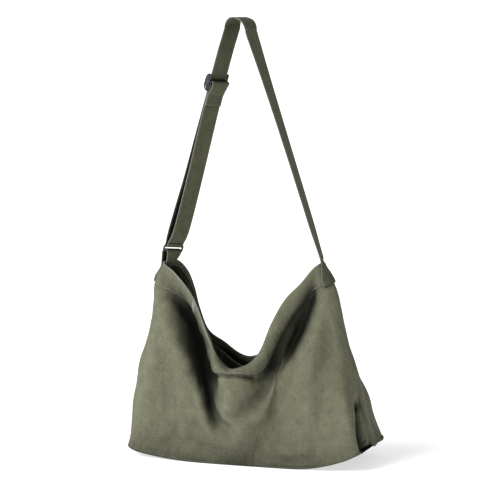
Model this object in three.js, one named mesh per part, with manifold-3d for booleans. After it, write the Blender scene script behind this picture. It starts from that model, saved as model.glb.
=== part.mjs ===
// A canvas hobo bag: two body panels sewn to a base, a bound mouth that sags between two raised
// corners, and a long shoulder strap that runs through a slider and a ring.
// Millimetres. +X is to the right seen from the front, -Y the front, +Z up. The origin is on the
// surface that the bag stands on, under the middle of its box.
import * as THREE from "three";
import { mergeVertices } from "three/addons/utils/BufferGeometryUtils.js";
import Module from "manifold-3d";

// ---------- driving dimensions ----------
const BASE_HALF_WIDTH = 225; // along X
const BASE_HALF_DEPTH = 75; // along Y
const BASE_CORNER_RADIUS = 28;
const BASE_BELLY = 12; // how far the long edges of the base bow out
const FLAT_HALF_LENGTH = 95; // the stretch of the base that rests on the ground
const LEFT_END_LIFT = 18; // the base's ends hang clear of the ground
const RIGHT_END_LIFT = 33;
const WALL_BELLY = 11; // outward swell half way up a wall
const CLOTH = 2.4; // panel thickness, cloth and turned seam together
const GAP = 0.3; // between pieces that touch
const FOOT_RISE = 1.6; // the leaning walls start this far above the base's upper face
const WALL_COLUMNS = 46;
const LOWER_WALL = 0.72; // share of a wall's height that is divided evenly, below the mouth band

const BAND_OUTER = 38; // mouth band, folded over the lip
const BAND_INNER = 12;
const BAND_CLOTH = 1.2;
const BAND_GAP = 0.6; // between the band and the panel that it wraps

const STRAP_WIDTH = 38;
const STRAP_CLOTH = 2;
const LEFT_PIVOT = [-165, 0, 360]; // where the strap bends at the two corners of the mouth
const RIGHT_PIVOT = [135, 0, 376];
const PIVOT_TO_RING = 33; // left pivot to the ring's upper bar
const PIVOT_TO_STRAP = 25; // right pivot to the strap's lower end
const PEAK = [-24, 0, 835]; // top of the strap
const PEAK_RADIUS = 30;
const PEAK_LEFT_LEAN = 11; // degrees from upright at which the two limbs meet the peak's arc
const PEAK_RIGHT_LEAN = 16;
const PEAK_JOINT = 2; // left open where a limb meets the arc at a slight turn
const STRAP_TURN = 36; // degrees that the strap's width is turned from Y towards X

const RING_WIRE_RADIUS = 2;
const RING_BAR_SPACING = 12;
const RING_HALF_WIDTH = 22;
const TAB_SLACK = 2.9; // room for the ring's lower bar each way inside the tab
const SLIDER_HEIGHT_ON_STRAP = 324; // ring's upper bar to the slider's middle bar
const SLIDER_HALF_HEIGHT = 17;
const SLIDER_CHEEK = 4;
const SLIDER_SLOT_MARGIN = 1; // each side of the strap
const FLAP_LENGTH = 45; // the strap's end, folded over the slider's middle bar and stitched
const STITCH_WIDTH = 1.2; // a row of close stitches, modelled as one low ridge
const STITCH_HEIGHT = 0.5;

const OLIVE = 0x74755f;
const OLIVE_DARK = 0x4c4d3c;
const THREAD = 0x8a8b74;
const GUNMETAL = 0x1b1b1d;

// ---------- helpers ----------
const wasm = await Module();
wasm.setup();
const vec = (x, y, z) => new THREE.Vector3(x, y, z);
const radians = (degrees) => (degrees * Math.PI) / 180;
const part = new THREE.Group();
const cloth = (color) => new THREE.MeshStandardMaterial({ color, roughness: 0.95, metalness: 0 });
const metal = () => new THREE.MeshStandardMaterial({ color: GUNMETAL, roughness: 0.35, metalness: 1 });

function add(name, geometry, material, parent = part) {
  const mesh = new THREE.Mesh(geometry, material);
  mesh.name = name;
  parent.add(mesh);
  return mesh;
}

function signedVolume(points, faces) {
  let volume = 0;
  for (const [a, b, c] of faces) {
    volume += points[a].dot(points[b].clone().cross(points[c]));
  }
  return volume;
}

// A closed body from points and triangles, turned so that its faces point out.
function body(points, faces) {
  const inside = signedVolume(points, faces) < 0;
  const geometry = new THREE.BufferGeometry().setFromPoints(points);
  geometry.setIndex(faces.flatMap(([a, b, c]) => (inside ? [a, c, b] : [a, b, c])));
  geometry.computeVertexNormals();
  return geometry;
}

// Joins rows of points, one ring to the next, into a closed body. outline is the ring's flat shape,
// which says how the two ends are filled; a looped sweep has no ends.
function sweep(rings, outline, looped = false) {
  const count = outline.length;
  const faces = [];
  const last = looped ? rings.length : rings.length - 1;
  for (let i = 0; i < last; i++) {
    const here = i * count;
    const next = ((i + 1) % rings.length) * count;
    for (let j = 0; j < count; j++) {
      const k = (j + 1) % count;
      faces.push([here + j, here + k, next + k], [here + j, next + k, next + j]);
    }
  }
  if (!looped) {
    const end = (rings.length - 1) * count;
    const cap = THREE.ShapeUtils.triangulateShape(outline.map(([x, y]) => new THREE.Vector2(x, y)), []);
    for (const [a, b, c] of cap) faces.push([a, c, b], [end + a, end + b, end + c]);
  }
  return body(rings.flat(), faces);
}

// A flat strap along a path. widthAt(i) is the direction of its width at point i.
function strap(path, widthAt, width = STRAP_WIDTH, thickness = STRAP_CLOTH) {
  const outline = [[-1, -1], [1, -1], [1, 1], [-1, 1]];
  const rings = path.map((point, i) => {
    const before = path[Math.max(i - 1, 0)];
    const after = path[Math.min(i + 1, path.length - 1)];
    const along = after.clone().sub(before).normalize();
    const across = widthAt(i).clone().addScaledVector(along, -widthAt(i).dot(along)).normalize();
    const out = along.clone().cross(across);
    return outline.map(([w, n]) =>
      point.clone().addScaledVector(across, (w * width) / 2).addScaledVector(out, (n * thickness) / 2));
  });
  return sweep(rings, outline);
}

// The same for a strap bent in the YZ plane of a local frame, its width along local X.
function foldedStrap(points, width, thickness) {
  const path = points.map(([y, z]) => vec(0, y, z));
  return strap(path, () => vec(1, 0, 0), width, thickness);
}

// Points of an arc in the YZ plane, angles in degrees from +Y towards +Z.
function arc(y, z, radius, from, to, steps) {
  return Array.from({ length: steps + 1 }, (_, i) => {
    const angle = radians(from + ((to - from) * i) / steps);
    return [y + radius * Math.cos(angle), z + radius * Math.sin(angle)];
  });
}

// A sheet between two surfaces, each given as a grid of rows.
function sheet(outer, inner) {
  const rows = outer.length;
  const columns = outer[0].length;
  const points = [...outer.flat(), ...inner.flat()];
  const at = (side, i, j) => (side * rows + i) * columns + j;
  const faces = [];
  const quad = (a, b, c, d) => faces.push([a, b, c], [a, c, d]);
  for (let i = 0; i < rows - 1; i++) {
    for (let j = 0; j < columns - 1; j++) {
      quad(at(0, i, j), at(0, i, j + 1), at(0, i + 1, j + 1), at(0, i + 1, j));
      quad(at(1, i, j), at(1, i + 1, j), at(1, i + 1, j + 1), at(1, i, j + 1));
    }
    quad(at(0, i, 0), at(0, i + 1, 0), at(1, i + 1, 0), at(1, i, 0));
    quad(at(0, i, columns - 1), at(1, i, columns - 1), at(1, i + 1, columns - 1), at(0, i + 1, columns - 1));
  }
  for (let j = 0; j < columns - 1; j++) {
    quad(at(0, 0, j), at(1, 0, j), at(1, 0, j + 1), at(0, 0, j + 1));
    quad(at(0, rows - 1, j), at(0, rows - 1, j + 1), at(1, rows - 1, j + 1), at(1, rows - 1, j));
  }
  return body(points, faces);
}

function solid(geometry) {
  const plain = geometry.clone();
  plain.deleteAttribute("normal");
  plain.deleteAttribute("uv");
  const merged = mergeVertices(plain, 1e-3);
  return new wasm.Manifold(new wasm.Mesh({
    numProp: 3,
    vertProperties: merged.attributes.position.array,
    triVerts: new Uint32Array(merged.index.array),
  }));
}

function geometryOf(manifold) {
  const mesh = manifold.getMesh();
  const geometry = new THREE.BufferGeometry();
  geometry.setAttribute("position", new THREE.BufferAttribute(mesh.vertProperties, 3));
  geometry.setIndex(new THREE.BufferAttribute(mesh.triVerts, 1));
  geometry.computeVertexNormals();
  return geometry;
}

// A rounded bar along local X, from its section's box in Y and Z.
function bar(yLow, yHigh, zLow, zHigh, length, round) {
  const shape = new THREE.Shape();
  shape.moveTo(yLow + round, zLow);
  shape.lineTo(yHigh - round, zLow);
  shape.absarc(yHigh - round, zLow + round, round, -Math.PI / 2, 0);
  shape.lineTo(yHigh, zHigh - round);
  shape.absarc(yHigh - round, zHigh - round, round, 0, Math.PI / 2);
  shape.lineTo(yLow + round, zHigh);
  shape.absarc(yLow + round, zHigh - round, round, Math.PI / 2, Math.PI);
  shape.lineTo(yLow, zLow + round);
  shape.absarc(yLow + round, zLow + round, round, Math.PI, 1.5 * Math.PI);
  const geometry = new THREE.ExtrudeGeometry(shape, { depth: length, bevelEnabled: false, curveSegments: 4 });
  geometry.translate(0, 0, -length / 2);
  // The section was drawn in XY and extruded along Z: turn Y and Z into the section, X into the length.
  return geometry.applyMatrix4(new THREE.Matrix4().makeBasis(vec(0, 1, 0), vec(0, 0, 1), vec(1, 0, 0)));
}

// ---------- the body's surface ----------
// Half of the base's outline, from the middle of the left end round the front to the right end.
const baseOutline = new THREE.Path();
baseOutline.moveTo(-BASE_HALF_WIDTH, 0);
baseOutline.lineTo(-BASE_HALF_WIDTH, -BASE_HALF_DEPTH + BASE_CORNER_RADIUS);
baseOutline.absarc(-BASE_HALF_WIDTH + BASE_CORNER_RADIUS, -BASE_HALF_DEPTH + BASE_CORNER_RADIUS,
  BASE_CORNER_RADIUS, Math.PI, 1.5 * Math.PI);
baseOutline.lineTo(BASE_HALF_WIDTH - BASE_CORNER_RADIUS, -BASE_HALF_DEPTH);
baseOutline.absarc(BASE_HALF_WIDTH - BASE_CORNER_RADIUS, -BASE_HALF_DEPTH + BASE_CORNER_RADIUS,
  BASE_CORNER_RADIUS, 1.5 * Math.PI, 2 * Math.PI);
baseOutline.lineTo(BASE_HALF_WIDTH, 0);

// The lips, from the left corner to the right one.
const FRONT_LIP = [
  [-165, 0, 361], [-174, -13, 360], [-149, -24, 344], [-111, -34, 304], [-78, -43, 232], [-52, -48, 190],
  [-29, -50, 174], [-1, -49, 183], [22, -46, 206], [46, -40, 265], [70, -32, 310], [99, -23, 342],
  [119, -17, 368], [130, -9, 377], [133, 0, 377],
].map((p) => vec(...p));
const BACK_LIP = [
  [-165, 0, 361], [-154, 13, 360], [-138, 24, 340], [-126, 31, 305], [-118, 35, 268], [-99, 39, 222],
  [-70, 44, 201], [-44, 47, 182], [-24, 48, 176], [-2, 47, 184], [24, 43, 216], [50, 37, 262],
  [76, 30, 305], [102, 22, 341], [121, 15, 366], [130, 9, 376], [133, 0, 377],
].map((p) => vec(...p));

const baseLift = (x) => {
  const outward = Math.max(0, (Math.abs(x) - FLAT_HALF_LENGTH) / (BASE_HALF_WIDTH - FLAT_HALF_LENGTH));
  return (x < 0 ? LEFT_END_LIFT : RIGHT_END_LIFT) * outward ** 2;
};
const belly = (x) => BASE_BELLY * (1 - (x / BASE_HALF_WIDTH) ** 2);

// One wall: side is -1 for the front and 1 for the back.
function wall(side) {
  const lip = new THREE.CatmullRomCurve3(side < 0 ? FRONT_LIP : BACK_LIP, false, "centripetal");
  lip.arcLengthDivisions = 400;
  const foot = (f) => {
    const p = baseOutline.getPointAt(f);
    return vec(p.x, -side * (p.y - belly(p.x)), baseLift(p.x) + CLOTH + FOOT_RISE);
  };
  const outward = (f) => {
    const ahead = baseOutline.getTangentAt(f);
    return vec(ahead.y, -side * -ahead.x, 0);
  };
  // f runs from the left side seam to the right one; down is the distance below the lip.
  const height = (f) => lip.getPointAt(f).distanceTo(foot(f));
  const point = (f, up) => {
    const swell = WALL_BELLY * Math.sin(Math.PI * Math.min(Math.max(up, 0), 1)) ** 2;
    return foot(f).lerp(lip.getPointAt(f), up).addScaledVector(outward(f), swell);
  };
  const normal = (f, up) => {
    const step = 0.002;
    const f0 = Math.max(f - step, 0);
    const f1 = Math.min(f + step, 1);
    const u0 = Math.max(up - step, 0);
    const u1 = Math.min(up + step, 1);
    const across = point(f1, up).sub(point(f0, up));
    const rise = point(f, u1).sub(point(f, u0));
    return across.cross(rise).normalize().multiplyScalar(-side);
  };
  // A point at a distance out from the wall's outer face, kept to its own side of the side seams.
  const at = (f, up, out) => {
    const p = point(f, up).addScaledVector(normal(f, up), out);
    return p.setY(side * Math.max(side * p.y, GAP / 2));
  };
  return { height, point, at };
}

const range = (from, to, steps) =>
  Array.from({ length: steps + 1 }, (_, i) => from + ((to - from) * i) / steps);

// A patch of cloth on a wall: offset is its outer face's distance out from the wall's outer face.
function patch(w, fRange, upRange, offset, thickness) {
  const grid = (out) => fRange.map((f) => upRange(f).map((up) => w.at(f, up, out)));
  return sheet(grid(offset), grid(offset - thickness));
}

// ---------- body panels ----------
const front = wall(-1);
const back = wall(1);
const SEAM = 0.0004; // share of the wall's length left open at each side seam
const acrossWall = range(SEAM, 1 - SEAM, WALL_COLUMNS);
const rowsUp = (w) => (f) => [...range(0, LOWER_WALL, 6),
  ...[BAND_OUTER, BAND_OUTER / 2, BAND_INNER, 0].map((down) => 1 - down / w.height(f))];
for (const [name, w] of [["front_panel", front], ["back_panel", back]]) {
  add(name, patch(w, acrossWall, rowsUp(w), 0, CLOTH), cloth(OLIVE));
}

// The base: a rounded rectangle, flat in the middle and rising at both ends.
{
  const columns = range(0, 1, WALL_COLUMNS);
  const rowsAcross = 8;
  const edge = (f, side) => {
    const p = baseOutline.getPointAt(f);
    return vec(p.x, -side * (p.y - belly(p.x)), 0);
  };
  const grid = (height) => columns.slice(1, -1).map((f) => range(0, 1, rowsAcross).map((s) => {
    const p = edge(f, -1).lerp(edge(f, 1), s);
    return p.setZ(baseLift(p.x) + height);
  }));
  add("base_panel", sheet(grid(0), grid(CLOTH)), cloth(OLIVE));
}

// The mouth band: one strip each side, folded over the lip.
for (const [name, w] of [["mouth_band_front", front], ["mouth_band_back", back]]) {
  const near = BAND_GAP; // the band's faces, out from the panel's outer face and in from its inner one
  const far = BAND_GAP + BAND_CLOTH;
  const levels = [BAND_OUTER, BAND_OUTER / 2, BAND_INNER, 0];
  const outline = [
    ...levels.map((down) => [down, far]), [-far, far], [-far, -CLOTH - far],
    [0, -CLOTH - far], [BAND_INNER, -CLOTH - far], [BAND_INNER, -CLOTH - near], [0, -CLOTH - near],
    [-near, -CLOTH - near], [-near, near],
    ...levels.reverse().map((down) => [down, near]),
  ];
  const rings = acrossWall.map((f) => outline.map(([down, out]) => {
    const up = 1 - Math.max(down, 0) / w.height(f);
    const rise = w.point(f, 1).sub(w.point(f, 0.99)).normalize();
    return w.at(f, up, out).addScaledVector(rise, Math.max(-down, 0));
  }));
  add(name, sweep(rings, outline), cloth(OLIVE));
}

// ---------- inside the bag ----------
const INSIDE = -CLOTH - 1.1; // the inner pieces lie a little off the walls
const BINDING_CLOTH = 1;
const BASE_BINDING_HEIGHT = 12;
const BINDING_END_GAP = 6; // from the side seam's binding to the base seam's
// Binding tape down each side seam. It spans the seam, so it is swept from the two walls' inner faces.
for (const [name, f] of [["side_seam_binding_left", SEAM], ["side_seam_binding_right", 1 - SEAM]]) {
  const halfShare = 0.012; // half the tape's width, as a share of the wall's length
  const inner = f < 0.5 ? f + halfShare : f - halfShare;
  const rows = [[back, inner], [back, f], [front, f], [front, inner]];
  const grid = (out) => rows.map(([w, at]) => {
    const from = (BASE_BINDING_HEIGHT + BINDING_END_GAP) / w.height(at);
    const to = 1 - (BAND_INNER + 4) / w.height(at);
    const rows = [from, ...range(LOWER_WALL / 6, LOWER_WALL, 5), 1 - BAND_OUTER / w.height(at), to];
    return rows.map((up) => w.at(at, up, out));
  });
  add(name, sheet(grid(INSIDE), grid(INSIDE - BINDING_CLOTH)), cloth(OLIVE_DARK));
}

// Binding tape along the base seam, one strip all round.
{
  const lowest = 2;
  const outline = [[lowest, INSIDE], [BASE_BINDING_HEIGHT, INSIDE],
    [BASE_BINDING_HEIGHT, INSIDE - BINDING_CLOTH], [lowest, INSIDE - BINDING_CLOTH]];
  const ringOn = (w) => (f) => outline.map(([rise, out]) => w.at(f, rise / w.height(f), out));
  const along = range(0, 1, 40);
  const rings = [...along.map(ringOn(front)), ...along.slice(1, -1).reverse().map(ringOn(back))];
  add("base_seam_binding", sweep(rings, outline, true), cloth(OLIVE_DARK));
}

// Slip pocket on the back wall. Its mouth stands a little open.
{
  const POCKET_FROM = 0.36;
  const POCKET_TO = 0.66;
  const POCKET_TOP = 20;
  const POCKET_HEIGHT = 120;
  const POCKET_SLACK = 7;
  const POCKET_CLOTH = 1.4;
  const columns = range(POCKET_FROM, POCKET_TO, 14);
  const grid = (extra) => columns.map((f) => range(0, 1, 6).map((s) => {
    const up = 1 - (POCKET_TOP + POCKET_HEIGHT * (1 - s)) / back.height(f);
    const middle = Math.sin((Math.PI * (f - POCKET_FROM)) / (POCKET_TO - POCKET_FROM));
    const out = INSIDE - POCKET_SLACK * middle * s ** 2 - extra;
    return back.at(f, up, out);
  }));
  add("inner_pocket", sheet(grid(0), grid(POCKET_CLOTH)), cloth(OLIVE));
}

// ---------- strap ----------
const turn = radians(STRAP_TURN);
const widthDirection = vec(Math.sin(turn), Math.cos(turn), 0);
const peakRun = vec(Math.cos(turn), -Math.sin(turn), 0); // the way that the strap crosses its peak
const peakCentre = vec(...PEAK).addScaledVector(vec(0, 0, 1), -PEAK_RADIUS);
const onPeak = (angle) => peakCentre.clone().addScaledVector(peakRun, PEAK_RADIUS * Math.cos(angle))
  .addScaledVector(vec(0, 0, 1), PEAK_RADIUS * Math.sin(angle));
const peakFrom = Math.PI - radians(PEAK_LEFT_LEAN);
const peakTo = radians(PEAK_RIGHT_LEAN);
const leftTop = onPeak(peakFrom);
const rightTop = onPeak(peakTo);
const leftPivot = vec(...LEFT_PIVOT);
const rightPivot = vec(...RIGHT_PIVOT);

// Left limb: a frame on the ring's upper bar, local X along the strap's width, Y towards the inside
// of the loop and Z up the limb.
const limb = new THREE.Group();
const limbUp = leftTop.clone().sub(leftPivot).normalize();
const limbAcross = widthDirection.clone().addScaledVector(limbUp, -widthDirection.dot(limbUp))
  .normalize().negate();
const limbIn = limbUp.clone().cross(limbAcross);
limb.position.copy(leftPivot).addScaledVector(limbUp, PIVOT_TO_RING);
limb.setRotationFromMatrix(new THREE.Matrix4().makeBasis(limbAcross, limbIn, limbUp));
part.add(limb);
const limbLength = leftTop.distanceTo(leftPivot) - PIVOT_TO_RING;

const HALF = STRAP_CLOTH / 2;
const FOLD_RADIUS = RING_WIRE_RADIUS + GAP + HALF;
const OUTER_Y = -1.5; // the two layers of the doubled stretch
const INNER_Y = 1.2;
const FOLD_END_Z = 3; // where the fold under the ring's bar ends and the two layers begin
const PARALLEL_Z = 6; // up to here they stay apart
const MERGE_Z = 26; // where they have come together above the ring
const outerRunStart = [[-FOLD_RADIUS, FOLD_END_Z], [-FOLD_RADIUS, PARALLEL_Z], [OUTER_Y, MERGE_Z]];
const innerRunStart = [[FOLD_RADIUS, FOLD_END_Z], [FOLD_RADIUS, PARALLEL_Z], [INNER_Y, MERGE_Z]];
add("strap_ring_fold", foldedStrap([
  [-FOLD_RADIUS, FOLD_END_Z - GAP],
  ...arc(0, 0, FOLD_RADIUS, 180, 360, 10),
  [FOLD_RADIUS, FOLD_END_Z - GAP],
], STRAP_WIDTH, STRAP_CLOTH), cloth(OLIVE), limb);
const outerRunEnd = [[OUTER_Y, limbLength - MERGE_Z], [0, limbLength - 2 * PEAK_JOINT]];
add("strap_left_limb", foldedStrap([...outerRunStart, ...outerRunEnd], STRAP_WIDTH, STRAP_CLOTH),
  cloth(OLIVE), limb);
const innerRunEnd = SLIDER_HEIGHT_ON_STRAP - 14; // just below the fold over the slider's bar
add("strap_inner_run", foldedStrap([...innerRunStart, [INNER_Y, innerRunEnd]], STRAP_WIDTH, STRAP_CLOTH),
  cloth(OLIVE), limb);

// Over the peak, in the upright plane of peakRun.
add("strap_peak", strap(range(peakFrom, peakTo, 14).map(onPeak), () => widthDirection), cloth(OLIVE));

// Right limb: the strap turns edge-on as it comes down, most of it near the top.
const rightUp = rightTop.clone().sub(rightPivot).normalize();
const rightStart = rightTop.clone().addScaledVector(rightUp, -2 * PEAK_JOINT);
const rightEnd = rightPivot.clone().addScaledVector(rightUp, PIVOT_TO_STRAP);
const twistSteps = 20;
add("strap_right_limb", strap(
  range(0, 1, twistSteps).map((s) => rightStart.clone().lerp(rightEnd, s)),
  (i) => {
    const angle = turn * (1 - i / twistSteps) ** 3;
    return vec(Math.sin(angle), Math.cos(angle), 0);
  }), cloth(OLIVE));

// The strap's end sewn on the outside of the right wall.
const BAND_OUT = BAND_GAP + BAND_CLOTH;
const LIP_LENGTH = 560; // one lip, corner to corner
const SEWN_GAP = 0.9; // under a piece sewn on the outside, where the wall curves
{
  const SEWN_FROM = 3; // below the lip
  const SEWN_TO = 42;
  const BARTACK_AT = 35;
  const bartackReach = 0.85; // share of the strap's width
  const rows = range(SEWN_FROM, SEWN_TO, 4);
  const grid = (out) => rows.map((down) => range(-1, 1, 6).map((s) => {
    const w = s < 0 ? front : back;
    const along = Math.abs(s) * (STRAP_WIDTH / 2 / LIP_LENGTH);
    const f = 1 - SEAM - along;
    const up = 1 - down / w.height(f);
    return w.at(f, up, out);
  }));
  const sewnIn = BAND_OUT + SEWN_GAP; // the strap's near face, out from the wall's outer face
  add("strap_sewn_end", sheet(grid(sewnIn + STRAP_CLOTH), grid(sewnIn)), cloth(OLIVE));
  const stitch = (down) => {
    const across = range(-bartackReach, bartackReach, 6);
    const row = (out) => [down, down + STITCH_WIDTH].map((d) => across.map((s) => {
      const w = s < 0 ? front : back;
      const f = 1 - SEAM - Math.abs(s) * (STRAP_WIDTH / 2 / LIP_LENGTH);
      const up = 1 - d / w.height(f);
      return w.at(f, up, out);
    }));
    const base = sewnIn + STRAP_CLOTH + SEWN_GAP;
    return sheet(row(base + STITCH_HEIGHT), row(base));
  };
  add("strap_end_bartack", stitch(BARTACK_AT), cloth(THREAD));
}

// ---------- ring and its tab ----------
{
  const halfWidth = RING_HALF_WIDTH;
  const corner = 4;
  const path = [];
  const cornerArc = (x, z, from) => range(from, from + 90, 4).forEach((a) =>
    path.push([x + corner * Math.cos(radians(a)), z + corner * Math.sin(radians(a))]));
  cornerArc(halfWidth - corner, -corner, 0);
  cornerArc(-halfWidth + corner, -corner, 90);
  cornerArc(-halfWidth + corner, -RING_BAR_SPACING + corner, 180);
  cornerArc(halfWidth - corner, -RING_BAR_SPACING + corner, 270);
  const sides = 10;
  const outline = range(0, 360, sides).slice(0, sides).map((a) => [
    RING_WIRE_RADIUS * Math.cos(radians(a)), RING_WIRE_RADIUS * Math.sin(radians(a))]);
  const rings = path.map(([x, z], i) => {
    const [bx, bz] = path[(i + path.length - 1) % path.length];
    const [ax, az] = path[(i + 1) % path.length];
    const along = vec(ax - bx, 0, az - bz).normalize();
    const out = vec(along.z, 0, -along.x);
    return outline.map(([o, y]) => vec(x, y, z).addScaledVector(out, o));
  });
  add("ring", sweep(rings, outline, true), metal(), limb);
}
const INNER_LEG_WIDTH = 12; // the tab is gathered where it goes into the corner of the mouth
const TAB_SIDE = RING_WIRE_RADIUS + TAB_SLACK + HALF;
const TAB_TOP_ROOM = 0.7; // between the ring's lower bar and the tab over it
const TAB_TOP = -RING_BAR_SPACING + RING_WIRE_RADIUS + TAB_TOP_ROOM + HALF;
const TAB_CORNER = 2.2;
const TAB_LOOP_HEIGHT = 5.5;
add("ring_tab_loop", foldedStrap([
  [-TAB_SIDE, TAB_TOP - TAB_LOOP_HEIGHT],
  ...arc(-TAB_SIDE + TAB_CORNER, TAB_TOP - TAB_CORNER, TAB_CORNER, 180, 90, 4),
  ...arc(TAB_SIDE - TAB_CORNER, TAB_TOP - TAB_CORNER, TAB_CORNER, 90, 0, 4),
  [TAB_SIDE, TAB_TOP - TAB_LOOP_HEIGHT],
], STRAP_WIDTH, STRAP_CLOTH), cloth(OLIVE), limb);

// The tab's sewn leg on the outside of the left wall, its inner leg inside, and the bartack.
{
  const legGrid = (out, from, to, width) => range(from, to, 4).map((down) => range(-1, 1, 6).map((s) => {
    const w = s < 0 ? front : back;
    const f = SEAM + Math.abs(s) * (width / 2 / LIP_LENGTH);
    const up = 1 - down / w.height(f);
    return w.at(f, up, out);
  }));
  const leg = (out, from, to, thickness, width = STRAP_WIDTH) =>
    sheet(legGrid(out + thickness, from, to, width), legGrid(out, from, to, width));
  const LEG_FROM = 3; // below the lip
  const OUTER_LEG_TO = 38;
  const INNER_LEG_TO = 30;
  const BARTACK_AT = 31;
  const insideBand = -CLOTH - BAND_OUT - 2 * SEWN_GAP - STRAP_CLOTH;
  const onOuterLeg = BAND_OUT + 2 * SEWN_GAP + STRAP_CLOTH;
  add("ring_tab_outer_leg", leg(BAND_OUT + SEWN_GAP, LEG_FROM, OUTER_LEG_TO, STRAP_CLOTH), cloth(OLIVE));
  const innerLeg = leg(insideBand, LEG_FROM, INNER_LEG_TO, STRAP_CLOTH, INNER_LEG_WIDTH);
  add("ring_tab_inner_leg", innerLeg, cloth(OLIVE));
  const tabBartack = leg(onOuterLeg, BARTACK_AT, BARTACK_AT + STITCH_WIDTH, STITCH_HEIGHT);
  add("ring_tab_bartack", tabBartack, cloth(THREAD));
}

// ---------- slider ----------
const slider = new THREE.Group();
slider.position.z = SLIDER_HEIGHT_ON_STRAP;
limb.add(slider);
const LAYER_GAP = 0.4;
const FOLD_IN_Y = INNER_Y + STRAP_CLOTH + LAYER_GAP; // the fold's layer next to the inner run
const BAR_HALF_THICKNESS = 1.5;
const BAR_HALF_HEIGHT = 2.5;
const BAR_Y = FOLD_IN_Y + HALF + GAP + BAR_HALF_THICKNESS;
const FOLD_OUT_Y = BAR_Y + BAR_HALF_THICKNESS + GAP + HALF;
const OUTER_BAR_HIGH = OUTER_Y - HALF - LAYER_GAP;
const OUTER_BAR_LOW = OUTER_BAR_HIGH - 2 * BAR_HALF_THICKNESS;
{
  const span = STRAP_WIDTH + 2 * SLIDER_SLOT_MARGIN;
  const cheekRound = 5;
  const barRound = 1.4;
  const barEnd = SLIDER_HALF_HEIGHT - 4; // the two outer bars lie this far up and down
  const barStart = barEnd - 2 * BAR_HALF_HEIGHT;
  const cheekHigh = BAR_Y + BAR_HALF_THICKNESS;
  const cheek = (side) =>
    bar(OUTER_BAR_LOW, cheekHigh, -SLIDER_HALF_HEIGHT, SLIDER_HALF_HEIGHT, SLIDER_CHEEK, cheekRound)
      .translate(side * (span + SLIDER_CHEEK) / 2, 0, 0);
  const crossBar = (yLow, yHigh, zLow, zHigh) =>
    bar(yLow, yHigh, zLow, zHigh, span + 2 * SLIDER_SLOT_MARGIN, barRound);
  const pieces = [
    cheek(-1),
    cheek(1),
    crossBar(OUTER_BAR_LOW, OUTER_BAR_HIGH, barStart, barEnd),
    crossBar(OUTER_BAR_LOW, OUTER_BAR_HIGH, -barEnd, -barStart),
    crossBar(BAR_Y - BAR_HALF_THICKNESS, BAR_Y + BAR_HALF_THICKNESS, -BAR_HALF_HEIGHT, BAR_HALF_HEIGHT),
  ].map(solid);
  add("slider", geometryOf(pieces.reduce((a, b) => a.add(b))), metal(), slider);
}
const foldRadius = (FOLD_OUT_Y - FOLD_IN_Y) / 2;
const foldTop = BAR_HALF_HEIGHT - BAR_HALF_THICKNESS;
add("strap_slider_fold", foldedStrap([
  // The flap, flat on the inner run, then rising to the bar's outer side.
  [FOLD_IN_Y, -FLAP_LENGTH], [FOLD_IN_Y, -24], [6, -15], [FOLD_OUT_Y - 0.4, -6], [FOLD_OUT_Y, -2],
  ...arc(BAR_Y, foldTop, foldRadius, 0, 180, 8), // over the bar
  [FOLD_IN_Y, -2], [FOLD_IN_Y, -7],
], STRAP_WIDTH, STRAP_CLOTH), cloth(OLIVE), slider);
{
  const face = FOLD_IN_Y + HALF + GAP;
  const low = -FLAP_LENGTH + 4;
  const stitchLength = STRAP_WIDTH - 5;
  add("slider_fold_stitch", bar(face, face + STITCH_HEIGHT, low, low + STITCH_WIDTH, stitchLength, 0.2),
    cloth(THREAD), slider);
}

export default part;
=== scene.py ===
"""A canvas hobo bag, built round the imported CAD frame. The body is a cloth shell that a simulation
settles from its flat pattern; on it lie the mouth bands, seams, bindings, pocket and stitches. The
strap, its ring and its slider are modelled directly. Millimetres here, metres in Blender, +Z up."""

import math

import bmesh
import bpy
import numpy as np
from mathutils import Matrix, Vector


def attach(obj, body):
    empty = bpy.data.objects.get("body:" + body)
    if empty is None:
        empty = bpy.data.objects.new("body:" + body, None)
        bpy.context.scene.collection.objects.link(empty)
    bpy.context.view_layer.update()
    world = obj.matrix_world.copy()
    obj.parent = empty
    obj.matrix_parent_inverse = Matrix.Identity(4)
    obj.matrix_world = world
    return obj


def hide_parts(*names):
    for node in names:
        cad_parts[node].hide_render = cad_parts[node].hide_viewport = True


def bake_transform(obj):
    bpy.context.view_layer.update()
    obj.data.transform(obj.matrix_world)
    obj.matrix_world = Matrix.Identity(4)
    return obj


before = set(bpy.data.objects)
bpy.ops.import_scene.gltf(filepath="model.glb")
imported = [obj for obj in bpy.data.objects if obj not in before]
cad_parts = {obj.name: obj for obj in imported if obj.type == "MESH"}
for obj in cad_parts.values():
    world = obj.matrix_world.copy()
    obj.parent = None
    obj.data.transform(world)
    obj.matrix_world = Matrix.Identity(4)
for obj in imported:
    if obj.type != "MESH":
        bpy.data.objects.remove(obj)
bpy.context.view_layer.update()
MM = 0.001

# ---------- driving dimensions, as in the CAD model ----------
BASE_HALF_WIDTH = 225
BASE_HALF_DEPTH = 75
BASE_CORNER_RADIUS = 28
BASE_BELLY = 12
FLAT_HALF_LENGTH = 95
LEFT_END_LIFT = 14
RIGHT_END_LIFT = 33
WALL_BELLY = 11
FOOT_HEIGHT = 1.3      # the walls' foot above the surface that the bag stands on
CLOTH = 1.3            # body canvas
BAND = 38              # mouth band, on the outside
BAND_INSIDE = 12
BAND_CLOTH = 1.1
BAND_LIFT = 0.25       # from the panel to the band's nearer face
STRAP_WIDTH = 38
STRAP_CLOTH = 2.0
SEWN_LIFT = BAND_LIFT + BAND_CLOTH + 0.4 + STRAP_CLOTH / 2  # a strap's middle, sewn over the band

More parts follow.
